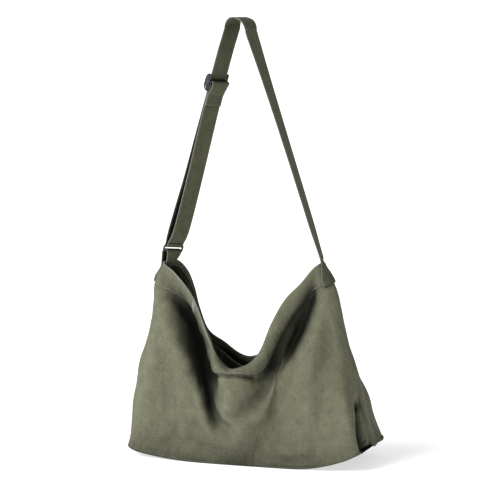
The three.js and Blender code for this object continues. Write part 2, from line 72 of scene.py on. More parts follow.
LEFT_PIVOT = np.array((-165.0, 0, 360))
RIGHT_PIVOT = np.array((135.0, 0, 376))
PIVOT_TO_RING = 33
PEAK = np.array((-24.0, 0, 835))
PEAK_RADIUS = 30
PEAK_LEFT_LEAN = 11
PEAK_RIGHT_LEAN = 16
STRAP_TURN = 36
RING_WIRE_RADIUS = 2
RING_BAR_SPACING = 12
RING_HALF_WIDTH = 22
RING_CORNER = 4
SLIDER_HEIGHT_ON_STRAP = 324
SLIDER_HALF_HEIGHT = 17
FLAP_LENGTH = 45

FRONT_LIP = [
    (-165, 0, 361), (-174, -13, 360), (-149, -24, 344), (-111, -34, 304), (-78, -43, 232), (-52, -48, 190),
    (-29, -50, 174), (-1, -49, 183), (22, -46, 206), (46, -40, 265), (70, -32, 310), (99, -23, 342),
    (119, -17, 368), (130, -9, 377), (133, 0, 377)]
BACK_LIP = [
    (-165, 0, 361), (-154, 13, 360), (-138, 24, 340), (-126, 31, 305), (-118, 35, 268), (-99, 39, 222),
    (-70, 44, 201), (-44, 47, 182), (-24, 48, 176), (-2, 47, 184), (24, 43, 216), (50, 37, 262),
    (76, 30, 305), (102, 22, 341), (121, 15, 366), (130, 9, 376), (133, 0, 377)]


# ---------- curves and grids ----------
norm = np.linalg.norm
UP = np.array((0, 0, 1.0))
FORWARD = np.array((0, -1.0, 0))


def unit(v):
    return v / (norm(v, axis=-1, keepdims=True) + 1e-12)


def smoothstep(t):
    t = np.clip(t, 0, 1)
    return t * t * (3 - 2 * t)


def bell(x, width):
    """1 at x = 0, falling smoothly to about a third at the width."""
    return np.exp(-(x / width) ** 2)


def resample(points, count):
    """The same line as count points spaced evenly along it."""
    steps = norm(np.diff(points, axis=0), axis=1)
    run = np.concatenate([[0], np.cumsum(steps)])
    at = np.linspace(0, run[-1], count)
    return np.column_stack([np.interp(at, run, points[:, k]) for k in range(points.shape[1])])


def refine(grid, times, closed=False):
    """Catmull-Rom points between the rows of a grid, along its first axis."""
    if closed:
        before, here = np.roll(grid, 1, 0), grid
        after, beyond = np.roll(grid, -1, 0), np.roll(grid, -2, 0)
    else:
        padded = np.concatenate([2 * grid[:1] - grid[1:2], grid, 2 * grid[-1:] - grid[-2:-1]])
        before, here, after, beyond = padded[:-3], padded[1:-2], padded[2:-1], padded[3:]
    rows = []
    for k in range(times):
        t = k / times
        rows.append(0.5 * (2 * here + (after - before) * t
                           + (2 * before - 5 * here + 4 * after - beyond) * t ** 2
                           + (3 * here - before - 3 * after + beyond) * t ** 3))
    fine = np.stack(rows, axis=1).reshape(-1, *grid.shape[1:])
    return fine if closed else np.concatenate([fine, grid[-1:]])


def smooth_curve(points, count):
    """A centripetal curve through the points, resampled to count points evenly along its length."""
    p = np.asarray(points, float)
    p = np.vstack([2 * p[0] - p[1], p, 2 * p[-1] - p[-2]])
    stretches = []
    for p0, p1, p2, p3 in zip(p, p[1:], p[2:], p[3:]):
        t1 = norm(p1 - p0) ** 0.5
        t2 = t1 + norm(p2 - p1) ** 0.5
        t3 = t2 + norm(p3 - p2) ** 0.5
        t = np.linspace(t1, t2, 40, endpoint=False)[:, None]
        a1 = (t1 - t) / t1 * p0 + t / t1 * p1
        a2 = (t2 - t) / (t2 - t1) * p1 + (t - t1) / (t2 - t1) * p2
        a3 = (t3 - t) / (t3 - t2) * p2 + (t - t2) / (t3 - t2) * p3
        b1 = (t2 - t) / t2 * a1 + t / t2 * a2
        b2 = (t3 - t) / (t3 - t1) * a2 + (t - t1) / (t3 - t1) * a3
        stretches.append((t2 - t) / (t2 - t1) * b1 + (t - t1) / (t2 - t1) * b2)
    stretches.append(p[-2:-1])
    return resample(np.vstack(stretches), count)


def on_grid(grid, i, j):
    """Points of a grid at fractional places i and j, by bilinear interpolation."""
    i = np.clip(i, 0, grid.shape[0] - 1.001)
    j = np.clip(j, 0, grid.shape[1] - 1.001)
    i0, j0 = i.astype(int), j.astype(int)
    a, b = (i - i0)[..., None], (j - j0)[..., None]
    return ((grid[i0, j0] * (1 - a) + grid[i0 + 1, j0] * a) * (1 - b)
            + (grid[i0, j0 + 1] * (1 - a) + grid[i0 + 1, j0 + 1] * a) * b)


# ---------- the body before it settles ----------
COLUMNS = 80   # per wall, side seam to side seam
ROWS = 40      # foot to lip
FINER = 3      # shown cloth has this many steps for each one that is simulated
LEFT_PROUD, RIGHT_PROUD_BACK, RIGHT_PROUD_FRONT = 5, 9, 2  # how far the foot stands out past each end
FRONT_BULGE = 4    # of the foot, in the middle of the front
RUFFLE_LIFT = 11   # of the foot under the fold at the front's right end


def base_outline(count):
    """Half of the base's outline, from the middle of the left end round the front to the right end."""
    w, d, r = BASE_HALF_WIDTH, BASE_HALF_DEPTH, BASE_CORNER_RADIUS
    turn = np.linspace(math.pi, 1.5 * math.pi, 24)
    left = np.column_stack([-w + r + r * np.cos(turn), -d + r + r * np.sin(turn)])
    right = np.column_stack([-left[::-1, 0], left[::-1, 1]])
    return resample(np.vstack([[(-w, 0)], left, right, [(w, 0)]]), count)


def foot_line(side):
    """The wall's foot: side is -1 for the front, 1 for the back. The ends stand a little proud."""
    outline = base_outline(COLUMNS + 1)
    x = outline[:, 0]
    y = outline[:, 1] - BASE_BELLY * (1 - (x / BASE_HALF_WIDTH) ** 2)
    past = np.maximum(0, (np.abs(x) - FLAT_HALF_LENGTH) / (BASE_HALF_WIDTH - FLAT_HALF_LENGTH))
    lift = np.where(x < 0, LEFT_END_LIFT, RIGHT_END_LIFT) * past ** 2
    left_proud = LEFT_PROUD * smoothstep((-x - 110) / 110)
    right_proud = (RIGHT_PROUD_BACK if side > 0 else RIGHT_PROUD_FRONT) * smoothstep((x - 130) / 90)
    f = np.linspace(0, 1, COLUMNS + 1)
    if side < 0:
        y = y - FRONT_BULGE * bell(f - 0.38, 0.22)
        lift = lift + RUFFLE_LIFT * bell(f - 0.962, 0.030)
    return np.column_stack([x - left_proud + right_proud, -side * y, lift + FOOT_HEIGHT])


def wall_start(side):
    foot = foot_line(side)
    lip = smooth_curve(FRONT_LIP if side < 0 else BACK_LIP, COLUMNS + 1)
    up = np.linspace(0, 1, ROWS + 1)[None, :, None]
    grid = foot[:, None, :] * (1 - up) + lip[:, None, :] * up
    ahead = np.gradient(base_outline(COLUMNS + 1), axis=0)
    out = unit(np.column_stack([ahead[:, 1], -side * -ahead[:, 0], 0 * ahead[:, 0]]))
    return grid + out[:, None, :] * WALL_BELLY * np.sin(np.pi * up) ** 2


# ---------- the flat pattern ----------
END_HEIGHT = 352     # of the wall at its side seams
MIDDLE_CUT = 138     # how much lower the lip is cut in the middle
LIP_TAPER = 0.03     # the lip is cut this much shorter than the foot


def cut_height(f):
    """Height that the wall was cut to, at share f of its length."""
    return END_HEIGHT - MIDDLE_CUT * np.sin(np.pi * np.clip((f - 0.06) / 0.88, 0, 1)) ** 1.6


def pattern(side):
    """The wall as it was cut, stood up as one half of a box: its rest shape."""
    outline = base_outline(COLUMNS + 1)
    f = np.linspace(0, 1, COLUMNS + 1)
    up = np.linspace(0, 1, ROWS + 1)
    grid = np.zeros((COLUMNS + 1, ROWS + 1, 3))
    grid[:, :, 0] = outline[:, 0:1] * (1 - LIP_TAPER * up[None, :])
    grid[:, :, 1] = -side * outline[:, 1:2]
    grid[:, :, 2] = cut_height(f)[:, None] * up[None, :]
    return grid


# ---------- where the slack cloth folds ----------
# Each fold is a path of (share of the wall's length, share of its height), its depth at the start,
# middle and end, and its half width. A minus depth is a ridge.
END_FOLDS = [
    ([(0.0, 0.97), (0.0, 0.90), (0.0, 0.80)], (-7, -19, -7), 26),
    ([(1.0, 0.97), (1.0, 0.90), (1.0, 0.76)], (-5, -14, -8), 24),
    ([(0.0, 0.62), (0.0, 0.35), (0.0, 0.08)], (-1, -8, -6), 50),
]
FRONT_FOLDS = [
    ([(0.09, 0.94), (0.15, 0.89), (0.21, 0.86), (0.28, 0.83), (0.35, 0.79), (0.41, 0.70), (0.45, 0.58),
      (0.48, 0.44)], (14, 48, 2), 22),
    ([(0.95, 0.92), (0.89, 0.87), (0.84, 0.83), (0.78, 0.79), (0.71, 0.79), (0.63, 0.81)], (14, 50, 12), 20),
    ([(0.63, 0.80), (0.58, 0.74), (0.55, 0.62), (0.50, 0.42)], (8, 18, 8), 20),
    ([(0.05, 0.90), (0.13, 0.77), (0.19, 0.67), (0.27, 0.60), (0.36, 0.48)], (-3, -12, -4), 26),
    ([(0.95, 0.80), (0.88, 0.68), (0.80, 0.58), (0.70, 0.50)], (-3, -11, -4), 28),
    ([(0.46, 0.66), (0.50, 0.60), (0.54, 0.66)], (-10, -16, -10), 30),
    ([(0.985, 0.26), (0.955, 0.20), (0.932, 0.12), (0.925, 0.0)], (6, 26, 16), 9),
    ([(0.90, 0.26), (0.895, 0.14), (0.89, 0.0)], (-3, -9, -5), 12),
] + END_FOLDS
BACK_FOLDS = [
    ([(0.08, 0.92), (0.18, 0.84), (0.30, 0.72), (0.42, 0.50)], (6, 22, 5), 22),
    ([(0.94, 0.90), (0.84, 0.80), (0.72, 0.70), (0.58, 0.48)], (2, 18, 5), 24),
    ([(0.42, 0.72), (0.50, 0.66), (0.58, 0.72)], (-6, -10, -6), 30),
    ([(0.90, 0.40), (0.89, 0.20), (0.89, 0.0)], (-3, -9, -7), 26),
    ([(0.955, 0.26), (0.95, 0.12), (0.945, 0.0)], (2, 7, 4), 7),
    ([(0.915, 0.22), (0.91, 0.10), (0.905, 0.0)], (2, 8, 4), 7),
] + END_FOLDS


def fold_push(gap, depths, half_width):
    """How far in a fold takes each point, from the point's distances to the points of the fold's path."""
    first, middle, last = depths
    t = np.linspace(0, 1, gap.shape[2])
    depth = first * (1 - t) ** 2 + last * t ** 2 + (4 * middle - first - last) * t * (1 - t)
    return bell(gap.min(axis=2), half_width) * depth[gap.argmin(axis=2)]


def folded(grid, side):
    """The wall with its folds started: the settled folds grow from these."""
    push = np.zeros(grid.shape[:2])
    for path, depths, half_width in FRONT_FOLDS if side < 0 else BACK_FOLDS:
        way = smooth_curve([(f, up, 0) for f, up in path], 40)
        line = on_grid(grid, way[:, 0] * COLUMNS, way[:, 1] * ROWS)
        push -= fold_push(norm(grid[:, :, None] - line, axis=3), depths, half_width)
    rows = np.linspace(0, 1, grid.shape[1])[None, :]
    push *= smoothstep((1 - rows) / 0.07)
    normal = unit(np.cross(np.gradient(grid, axis=0), np.gradient(grid, axis=1)) * -side)
    return grid + normal * push[:, :, None]


# ---------- the cloth simulation ----------
FRAMES = 26
CANVAS_STIFFNESS = {
    "tension_stiffness": 30, "compression_stiffness": 30, "shear_stiffness": 8, "bending_stiffness": 1.5,
    "tension_damping": 15, "compression_damping": 15, "shear_damping": 15, "bending_damping": 2,
    "air_damping": 3, "quality": 10, "mass": 0.02}


def add_object(name, data):
    obj = bpy.data.objects.new(name, data)
    bpy.context.scene.collection.objects.link(obj)
    return obj


def join_walls(front, back):
    """Both walls as one closed loop of columns: along the front, then back along the back."""
    return np.concatenate([front[:-1], back[::-1][:-1]], axis=0)


def quads(index):
    """Faces between the rows and columns of a grid of vertex numbers."""
    corners = [index[:-1, :-1], index[1:, :-1], index[1:, 1:], index[:-1, 1:]]
    return np.stack(corners, axis=-1).reshape(-1, 4)


def settle(start, rest):
    """Lets the cloth relax to the lengths that it was cut to, its lip and foot held, under gravity."""
    columns, rows = start.shape[:2]
    index = np.arange(columns * rows).reshape(columns, rows)
    mesh = bpy.data.meshes.new("cloth")
    faces = quads(np.vstack([index, index[:1]]))
    mesh.from_pydata((start.reshape(-1, 3) * MM).tolist(), [], faces.tolist())
    shell = add_object("cloth", mesh)
    shell.shape_key_add(name="Basis")
    key = shell.shape_key_add(name="pattern")
    key.data.foreach_set("co", (rest.reshape(-1, 3) * MM).ravel())
    key.value = 0
    pins = shell.vertex_groups.new(name="pins")
    pins.add(index[:, [0, -1]].ravel().tolist(), 1.0, "REPLACE")
    cloth = shell.modifiers.new("cloth", "CLOTH")
    for setting, value in CANVAS_STIFFNESS.items():
        setattr(cloth.settings, setting, value)
    cloth.settings.vertex_group_mass = "pins"
    cloth.settings.rest_shape_key = key
    cloth.collision_settings.use_collision = False
    cloth.point_cache.frame_start = 1
    cloth.point_cache.frame_end = FRAMES
    scene = bpy.context.scene
    for number in range(1, FRAMES + 1):
        scene.frame_set(number)
    settled = shell.evaluated_get(bpy.context.evaluated_depsgraph_get()).to_mesh()
    points = np.zeros(len(settled.vertices) * 3)
    settled.vertices.foreach_get("co", points)
    scene.frame_set(1)
    bpy.data.objects.remove(shell)
    return points.reshape(columns, rows, 3) / MM


def soften(loop, times):
    """Evens out the smallest crumples of a closed loop of columns, its foot and lip left as they are."""
    for _ in range(times):
        around = (np.roll(loop, 1, 0) + np.roll(loop, -1, 0)) / 2
        along = (loop[:, :-2] + loop[:, 2:]) / 2
        loop = loop.copy()
        loop[:, 1:-1] = 0.5 * loop[:, 1:-1] + 0.25 * around[:, 1:-1] + 0.25 * along
    return loop


class Shell:
    """The settled body. s runs round it from the left side seam, 0 to 1 along the front and 1 to 2 along
    the back. Distances down from the lip and up from the foot are measured along the cloth."""

    def __init__(self, loop):
        fine = refine(loop, FINER, closed=True)
        self.points = refine(fine.swapaxes(0, 1), FINER).swapaxes(0, 1)
        self.measure()

    def measure(self):
        self.points[:, :, 2] = np.maximum(self.points[:, :, 2], FOOT_HEIGHT)
        ahead = np.roll(self.points, -1, 0) - np.roll(self.points, 1, 0)
        rise = np.gradient(self.points, axis=1)
        self.normals = unit(np.cross(ahead, rise))
        self.rise = unit(rise)
        steps = norm(np.diff(self.points, axis=1), axis=2)
        self.height = np.concatenate([np.zeros((len(steps), 1)), np.cumsum(steps, axis=1)], axis=1)
        self.s = np.arange(len(self.points)) * 2 / len(self.points)

    def push(self, amount):
        """Moves each point of the cloth outward."""
        self.points = self.points + self.normals * amount[:, :, None]
        self.measure()

    def sample(self, values, s, row):
        """Values given at the grid's points, read at s and a place in the rows."""
        c = np.mod(s, 2) / 2 * len(self.points)
        c0 = np.floor(c).astype(int) % len(self.points)
        c1 = (c0 + 1) % len(self.points)
        r0 = np.clip(np.floor(row).astype(int), 0, values.shape[1] - 2)
        a, b = c - np.floor(c), row - r0
        if values.ndim == 3:
            a, b = a[..., None], b[..., None]
        return ((values[c0, r0] * (1 - a) + values[c1, r0] * a) * (1 - b)
                + (values[c0, r0 + 1] * (1 - a) + values[c1, r0 + 1] * a) * b)

    def row(self, s, distance, from_lip):
        """The place in the rows that lies a distance from the lip or from the foot."""
        rows = np.arange(self.height.shape[1])
        c = np.mod(s, 2) / 2 * len(self.points)
        found = []
        for place, far in zip(c.ravel(), distance.ravel()):
            c0 = int(place) % len(self.points)
            share = place - int(place)
            heights = self.height[c0] * (1 - share) + self.height[(c0 + 1) % len(self.points)] * share
            found.append(np.interp(heights[-1] - far if from_lip else far, heights, rows))
        return np.reshape(found, s.shape)

    def at(self, s, down=None, up=None, out=0.0):
        """Points at s, down from the lip or up from the foot, and out from the cloth's outer face. A
        minus distance down is above the lip."""
        from_lip = up is None
        distance = down if from_lip else up
        s, distance, out = (np.array(v, float) for v in np.broadcast_arrays(s, distance, out))
        row = self.row(s, np.maximum(distance, 0), from_lip)
        above = np.maximum(-distance, 0) if from_lip else 0 * distance
        return (self.sample(self.points, s, row) + unit(self.sample(self.normals, s, row)) * out[..., None]
                + unit(self.sample(self.rise, s, row)) * above[..., None])

    def facing(self, s, down=None, up=None):
        """Outward directions at those places."""
        from_lip = up is None
        s, distance = (np.array(v, float) for v in np.broadcast_arrays(s, down if from_lip else up))
        return unit(self.sample(self.normals, s, self.row(s, np.maximum(distance, 0), from_lip)))

    def creases(self, reach=2):
        """How sharply the cloth turns outward at each point, per millimetre."""
        p = self.points
        ends = np.pad(p, ((0, 0), (reach, reach), (0, 0)), mode="edge")
        bends = []
        for before, after in ((np.roll(p, reach, 0), np.roll(p, -reach, 0)),
                              (ends[:, :-2 * reach], ends[:, 2 * reach:])):
            span = norm(after - before, axis=2) / 2 + 1e-6
            bends.append(-((before + after - 2 * p) * self.normals).sum(axis=2) / span ** 2)
        return np.maximum(*bends)


# ---------- materials ----------
CREASE_REACH = 0.09     # metres: cloth with less room than this around it is darkened, a painted shade of its creases, hollows and inside
CREASE_DARK = 0.04      # colour left in the deepest creases by that painted shade
CREASE_FROM, CREASE_TO = 0.42, 0.95  # shares of open room between which that darkening fades out
WEAR_AND_HIGHLIGHT_PALE = 0.62        # what a worn edge fades towards: wear and a painted highlight together
UV_UNIT = 100           # the weave's UVs are in these many millimetres
TONES = 0.72, 1.28      # of the cloth's colour, over the ramp's stretch below
TONE_ENDS = 0.53, 0.75


class Nodes:
    """The nodes of a material or a world."""

    def __init__(self, owner):
        owner.use_nodes = True
        self.tree = owner.node_tree

    def fill(self, node, inputs):
        """Sets a node's inputs, each to a value or to another node's output."""
        for name, value in inputs.items():
            if isinstance(value, bpy.types.NodeSocket):
                self.tree.links.new(value, node.inputs[name])
            else:
                node.inputs[name].default_value = value

    def add(self, kind, inputs={}, **settings):
        node = self.tree.nodes.new("ShaderNode" + kind)
        for name, value in settings.items():
            setattr(node, name, value)
        self.fill(node, inputs)
        return node.outputs

    def ramp(self, value, low, high, ends=(0, 1)):
        """Colours from low to high, as the value runs between the ends."""
        node = self.tree.nodes.new("ShaderNodeValToRGB")
        for k, (place, colour) in enumerate(zip(ends, (low, high))):
            node.color_ramp.elements[k].position = place
            node.color_ramp.elements[k].color = (*colour, 1)
        self.fill(node, {"Fac": value})
        return node.outputs["Color"]

    def shade(self, inputs):
        self.fill(self.tree.nodes["Principled BSDF"], inputs)


def cloth_material(name, colour, pitch, weave=0.5, fade=0.45):
    """Plain-woven cloth. pitch is its threads' spacing in millimetres; fade is how much its worn edges pale,
    which is wear and painted highlight together. Its colour is darkened by ambient occlusion, a painted
    shade in creases and hollows. The weave follows the cloth's own UVs."""
    material = bpy.data.materials.new(name)
    nodes = Nodes(material)
    uv = nodes.add("UVMap", uv_map="cloth")["UV"]

    def texture(kind, scale, stretch=(1, 1, 1), detail={}, **settings):
        place = nodes.add("Mapping", {"Scale": stretch, "Vector": uv})["Vector"]
        return nodes.add("Tex" + kind, {"Scale": scale, "Vector": place, **detail}, **settings)["Fac"]

    def calculate(operation, a, b):
        return nodes.add("Math", {0: a, 1: b}, operation=operation)[0]

    def weighted(*parts):
        """The sum of each value times its weight."""
        products = [calculate("MULTIPLY", value, weight) for value, weight in parts]
        total = products[0]
        for product in products[1:]:
            total = calculate("ADD", total, product)
        return total

    threads = UV_UNIT / pitch
    warp, weft = [texture("Wave", threads / 20 * math.pi, bands_direction=way) for way in "XY"]
    over = texture("Checker", threads)
    slubs = [texture("Noise", threads / 1.6, stretch=stretch) for stretch in ((1, 0.08, 1), (0.08, 1, 1))]
    mottle = texture("Noise", 5, detail={"Detail": 6})
    grain = texture("Noise", 60, detail={"Detail": 3})
    slub = calculate("ADD", *slubs)
    crossings = weighted((warp, over), (weft, calculate("SUBTRACT", 1, over)))
    height = weighted((crossings, 0.5), (slub, 0.7))
    bump = nodes.add("Bump", {"Strength": weave, "Distance": 0.0006, "Height": height})
    tone = weighted((slub, 0.17), (mottle, 0.22), (grain, 0.49), (height, 0.12))
    dyed = nodes.ramp(tone, *[[c * share for c in colour] for share in TONES], TONE_ENDS)

    # Painted shade: ambient occlusion darkens the cloth's colour in creases, inside the bag and under its
    # parts.
    room = nodes.add("AmbientOcclusion", {"Distance": CREASE_REACH}, samples=6)["AO"]
    painted_shade = nodes.add("MapRange", {"From Min": CREASE_FROM, "From Max": CREASE_TO, "To Min": CREASE_DARK,
                                   "Value": room})["Result"]
    dark = nodes.add("Mix", {"Factor": 1.0, "A": dyed, "B": painted_shade}, data_type="RGBA", blend_type="MULTIPLY")
    # Painted highlight and wear: edges marked in this attribute are paled after the painted shade, so lip,
    # hem and ridge lines show light.
    wear_and_highlight = nodes.add("Attribute", attribute_name="wear_and_highlight")["Fac"]
    pale = (*[c + fade * (WEAR_AND_HIGHLIGHT_PALE - c) for c in colour], 1)
    mixed = nodes.add("Mix", {"Factor": wear_and_highlight, "A": dark["Result"], "B": pale}, data_type="RGBA")
    nodes.shade({"Roughness": 0.95, "Sheen Weight": 0.04, "Sheen Roughness": 0.6, "Specular IOR Level": 0.2,
                 "Normal": bump["Normal"], "Base Color": mixed["Result"]})
    return material


def thread_material():
    material = bpy.data.materials.new("thread")
    nodes = Nodes(material)
    noise = nodes.add("TexNoise", {"Scale": 900, "Vector": nodes.add("TexCoord")["Object"]})["Fac"]
    nodes.shade({"Roughness": 0.7, "Sheen Weight": 0.2,
                 "Base Color": nodes.ramp(noise, (0.10, 0.10, 0.065), (0.22, 0.22, 0.15))})
    return material


def gunmetal_material():
    """Black-nickel plate with fine scratches and slightly uneven gloss."""
    material = bpy.data.materials.new("gunmetal")
    nodes = Nodes(material)
    place = nodes.add("TexCoord")["Object"]
    scratch = nodes.add("TexNoise", {"Scale": 400, "Detail": 6, "Vector": place})["Fac"]
    cloudy = nodes.add("TexNoise", {"Scale": 60, "Vector": place})["Fac"]
    gloss = nodes.add("MapRange", {"To Min": 0.22, "To Max": 0.42, "Value": scratch})["Result"]
    bump = nodes.add("Bump", {"Strength": 0.08, "Distance": 0.0002, "Height": scratch})["Normal"]
    nodes.shade({"Metallic": 1.0, "Roughness": gloss, "Normal": bump,
                 "Base Color": nodes.ramp(cloudy, (0.035, 0.035, 0.037), (0.12, 0.12, 0.125))})
    return material


CANVAS = cloth_material("canvas", (0.148, 0.150, 0.098), pitch=1.0)
STRAP_CANVAS = cloth_material("strap_canvas", (0.088, 0.089, 0.053), pitch=0.9, fade=0.3)
BINDING = cloth_material("binding", (0.090, 0.090, 0.060), pitch=0.6, weave=0.3, fade=0.2)
THREAD = thread_material()
GUNMETAL = gunmetal_material()


# ---------- pieces from grids ----------
def piece(name, points, faces, material, uv=None, wear_and_highlight=None):
    """A mesh object from points in millimetres, its faces turned outward, in the material's slot."""
    mesh = bpy.data.meshes.new(name)
    mesh.from_pydata((np.asarray(points) * MM).tolist(), [], faces)
    if uv is not None:
        corner = np.zeros(len(mesh.loops), int)
        mesh.loops.foreach_get("vertex_index", corner)
        mesh.uv_layers.new(name="cloth").data.foreach_set("uv", (np.asarray(uv)[corner] / UV_UNIT).ravel())
    if wear_and_highlight is not None:
        mesh.attributes.new("wear_and_highlight", "FLOAT", "POINT").data.foreach_set("value", np.asarray(wear_and_highlight, np.float32))
    cleaner = bmesh.new()
    cleaner.from_mesh(mesh)
    bmesh.ops.recalc_face_normals(cleaner, faces=cleaner.faces)
    cleaner.to_mesh(mesh)
    cleaner.free()
    mesh.polygons.foreach_set("use_smooth", np.ones(len(mesh.polygons), bool))
    mesh.materials.append(material)
    obj = add_object(name, mesh)
    return obj


def riding(obj, carrier, *nodes):
    """The piece rides on a body of the frame and stands for these nodes of it."""
    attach(obj, carrier)
    if nodes:
        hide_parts(*nodes)
    return obj


def bending(pieces):
    """Bakes each piece's placement into its mesh."""
    for obj in pieces:
        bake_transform(obj)


def lengths(grid):
    """Each point's distance along the grid's two directions, in millimetres, for the weave."""
    u = norm(np.diff(grid, axis=0), axis=2).mean(axis=1)
    v = norm(np.diff(grid, axis=1), axis=2).mean(axis=0)
    along = np.concatenate([[0], np.cumsum(u)])
    across = np.concatenate([[0], np.cumsum(v)])
    return np.stack(np.meshgrid(along, across, indexing="ij"), axis=-1)


def thick_sheet(name, outer, inner, material, wear_and_highlight=None, closed=False):
    """A closed body between two grids of the same size. closed joins its last column to its first."""
    n, m = outer.shape[:2]
    far = np.arange(n * m).reshape(n, m)
    near = far + n * m
    if closed:
        far, near = np.vstack([far, far[:1]]), np.vstack([near, near[:1]])
    rims = [(far[:, :1], near[:, :1]), (near[:, -1:], far[:, -1:])]
    faces = [quads(far), quads(near[:, ::-1])] + [quads(np.hstack(pair)) for pair in rims]
    if not closed:
        faces += [quads(np.vstack([near[:1], far[:1]])), quads(np.vstack([far[-1:], near[-1:]]))]
    uv = lengths(outer).reshape(-1, 2)
    wear_and_highlight_grid = np.zeros((n, m)) if wear_and_highlight is None else np.broadcast_to(wear_and_highlight, (n, m))
    return piece(name, np.concatenate([outer.reshape(-1, 3), inner.reshape(-1, 3)]),
                 np.concatenate(faces).tolist(), material, np.concatenate([uv, uv]),
                 np.concatenate([wear_and_highlight_grid.ravel(), wear_and_highlight_grid.ravel()]))


def tube(name, path, radius, material):
    """A closed loop of round wire."""
    sides = 14
    ahead = unit(np.roll(path, -1, 0) - np.roll(path, 1, 0))
    out = unit(path - path.mean(axis=0))
    out = unit(out - (out * ahead).sum(axis=1, keepdims=True) * ahead)
    side = np.cross(ahead, out)
    turn = np.linspace(0, 2 * math.pi, sides, endpoint=False)
    rings = (path[:, None] + radius * (np.cos(turn)[None, :, None] * out[:, None]
                                       + np.sin(turn)[None, :, None] * side[:, None]))
    index = np.arange(len(path) * sides).reshape(len(path), sides)
    index = np.vstack([index, index[:1]])
    index = np.hstack([index, index[:, :1]])
    return piece(name, rings.reshape(-1, 3), quads(index).tolist(), material)


def stitches(name, rows, pitch=3.4, length=2.5, radius=0.36):
    """Thread stitches along rows. A row is its points and the cloth's directions there; the stitches lie
    on it and dip into it at their ends."""
    sides = 6
    turn = np.linspace(0, 2 * math.pi, sides, endpoint=False)
    shape = [(-0.5, 0.25, -0.6), (-0.32, 0.9, 0.0), (0.0, 1.0, 0.25), (0.32, 0.9, 0.0), (0.5, 0.25, -0.6)]
    points, faces = [], []
    start = 0
    for line, facing in rows:
        total = norm(np.diff(line, axis=0), axis=1).sum()
        count = max(2, round(total / pitch))
        both = resample(np.hstack([line, facing * 1e-3]), 2 * count + 1)
        middle, up = both[1::2, :3], unit(both[1::2, 3:])
        ahead = unit(both[2::2, :3] - both[0:-1:2, :3])
        side = unit(np.cross(ahead, up))
        round_it = np.cos(turn)[None, :, None] * side[:, None] + np.sin(turn)[None, :, None] * up[:, None]
        rings = [(middle + ahead * along * length + up * sink * radius)[:, None] + radius * wide * round_it
                 for along, wide, sink in shape]
        block = np.stack(rings, axis=1)
        index = start + np.arange(block[..., 0].size).reshape(block.shape[:3])
        start += index.size
        points.append(block.reshape(-1, 3))
        for here, there in zip(range(len(shape) - 1), range(1, len(shape))):
            a, b = index[:, here], index[:, there]
            faces.append(np.stack([a, np.roll(a, -1, 1), np.roll(b, -1, 1), b], -1).reshape(-1, 4))
        for cap in (index[:, 0], index[:, -1]):
            faces += [cap[:, [0, 1, 2, 3]], cap[:, [0, 3, 4, 5]]]
    return piece(name, np.concatenate(points), np.concatenate(faces).tolist(), THREAD)


# ---------- the body ----------
AROUND = 568  # length of one wall, in millimetres, where a width is turned into a share of s


# Sharp folds, pressed in once the cloth has settled. Each is a path of (s, distance), its depth at the
# start, middle and end, and its half width; the distance is down from the lip or up from the foot.
FOLDS_BELOW_BAND = [
    ([(0.10, 42), (0.18, 50), (0.27, 56), (0.34, 57), (0.40, 54)], (3, 16, 8), 12),
    ([(0.22, 74), (0.29, 78), (0.35, 80), (0.42, 98)], (1, 5, 3), 26),
    ([(0.16, 132), (0.26, 134), (0.34, 148), (0.41, 172)], (-2, -6, -3), 22),
    ([(0.34, 88), (0.385, 112), (0.435, 136), (0.475, 150)], (4, 15, 6), 14),
    ([(0.38, 46), (0.47, 43), (0.58, 44)], (2, 6, 5), 4.5),
    ([(0.56, 46), (0.66, 50), (0.78, 50), (0.90, 44)], (4, 13, 2), 10),
    ([(0.475, 148), (0.52, 118), (0.58, 88), (0.65, 60)], (4, 10, 5), 14),
    ([(0.50, 138), (0.58, 112), (0.66, 86), (0.73, 70)], (-2, -6, -3), 18),
]
FOLDS_AT_FOOT = [
    ([(0.10, 84), (0.50, 96), (0.88, 84)], (-3, -6, -3), 42),
    ([(0.976, 74), (0.950, 60), (0.930, 42), (0.914, 20), (0.908, 0)], (4, 16, 12), 4.6),
]
SHELF = 38                        # width of the part that lies open
SHELF_SLOPE = math.radians(-8)
SHELF_BELLY = 2                   # outward, of the cloth that drops from it
SHELF_RISE = 1.5                  # of its own middle
SHELF_NARROWS = 0.45              # share of its spread that is lost in the 100 mm below it
SHELF_SMOOTHING, EASING = 16, 240  # passes
SHELF_AT = 0.485
SHELF_LEFT, SHELF_RIGHT = 0.105, 0.14  # how far it spreads each way
# Places where the deep folds run out: (s, distance down from the lip), and how far each spreads.
FOLD_ENDS = [((0.375, 138), (0.075, 44)), ((0.425, 86), (0.040, 30)), ((0.600, 92), (0.045, 30))]
# Waves of the worn canvas: how many go round the bag, slant in turns per millimetre up, height, phase.
WAVES = [(19, 0.006, 0.50, 0.3), (31, -0.011, 0.34, 1.9), (53, 0.017, 0.17, 4.0), (12, -0.009, 0.70, 2.6),
         (83, -0.021, 0.08, 0.9)]
FOOT_PUCKER, BAND_PUCKER = 0.28, 0.16  # heights, beside the foot seam and under the band


def press_folds(shell):
    """Presses the sharp folds into the cloth."""
    up = shell.height
    around = shell.s[:, None] * AROUND + 0 * up
    push = np.zeros_like(up)
    for folds, distance in ((FOLDS_BELOW_BAND, up[:, -1:] - up), (FOLDS_AT_FOOT, up)):
        for path, depths, half_width in folds:
            way = smooth_curve([(at * AROUND, far, 0) for at, far in path], 80)
            gap = np.hypot(around[:, :, None] - way[:, 0], distance[:, :, None] - way[:, 1])
            push -= fold_push(gap, depths, half_width)
    shell.push(push)


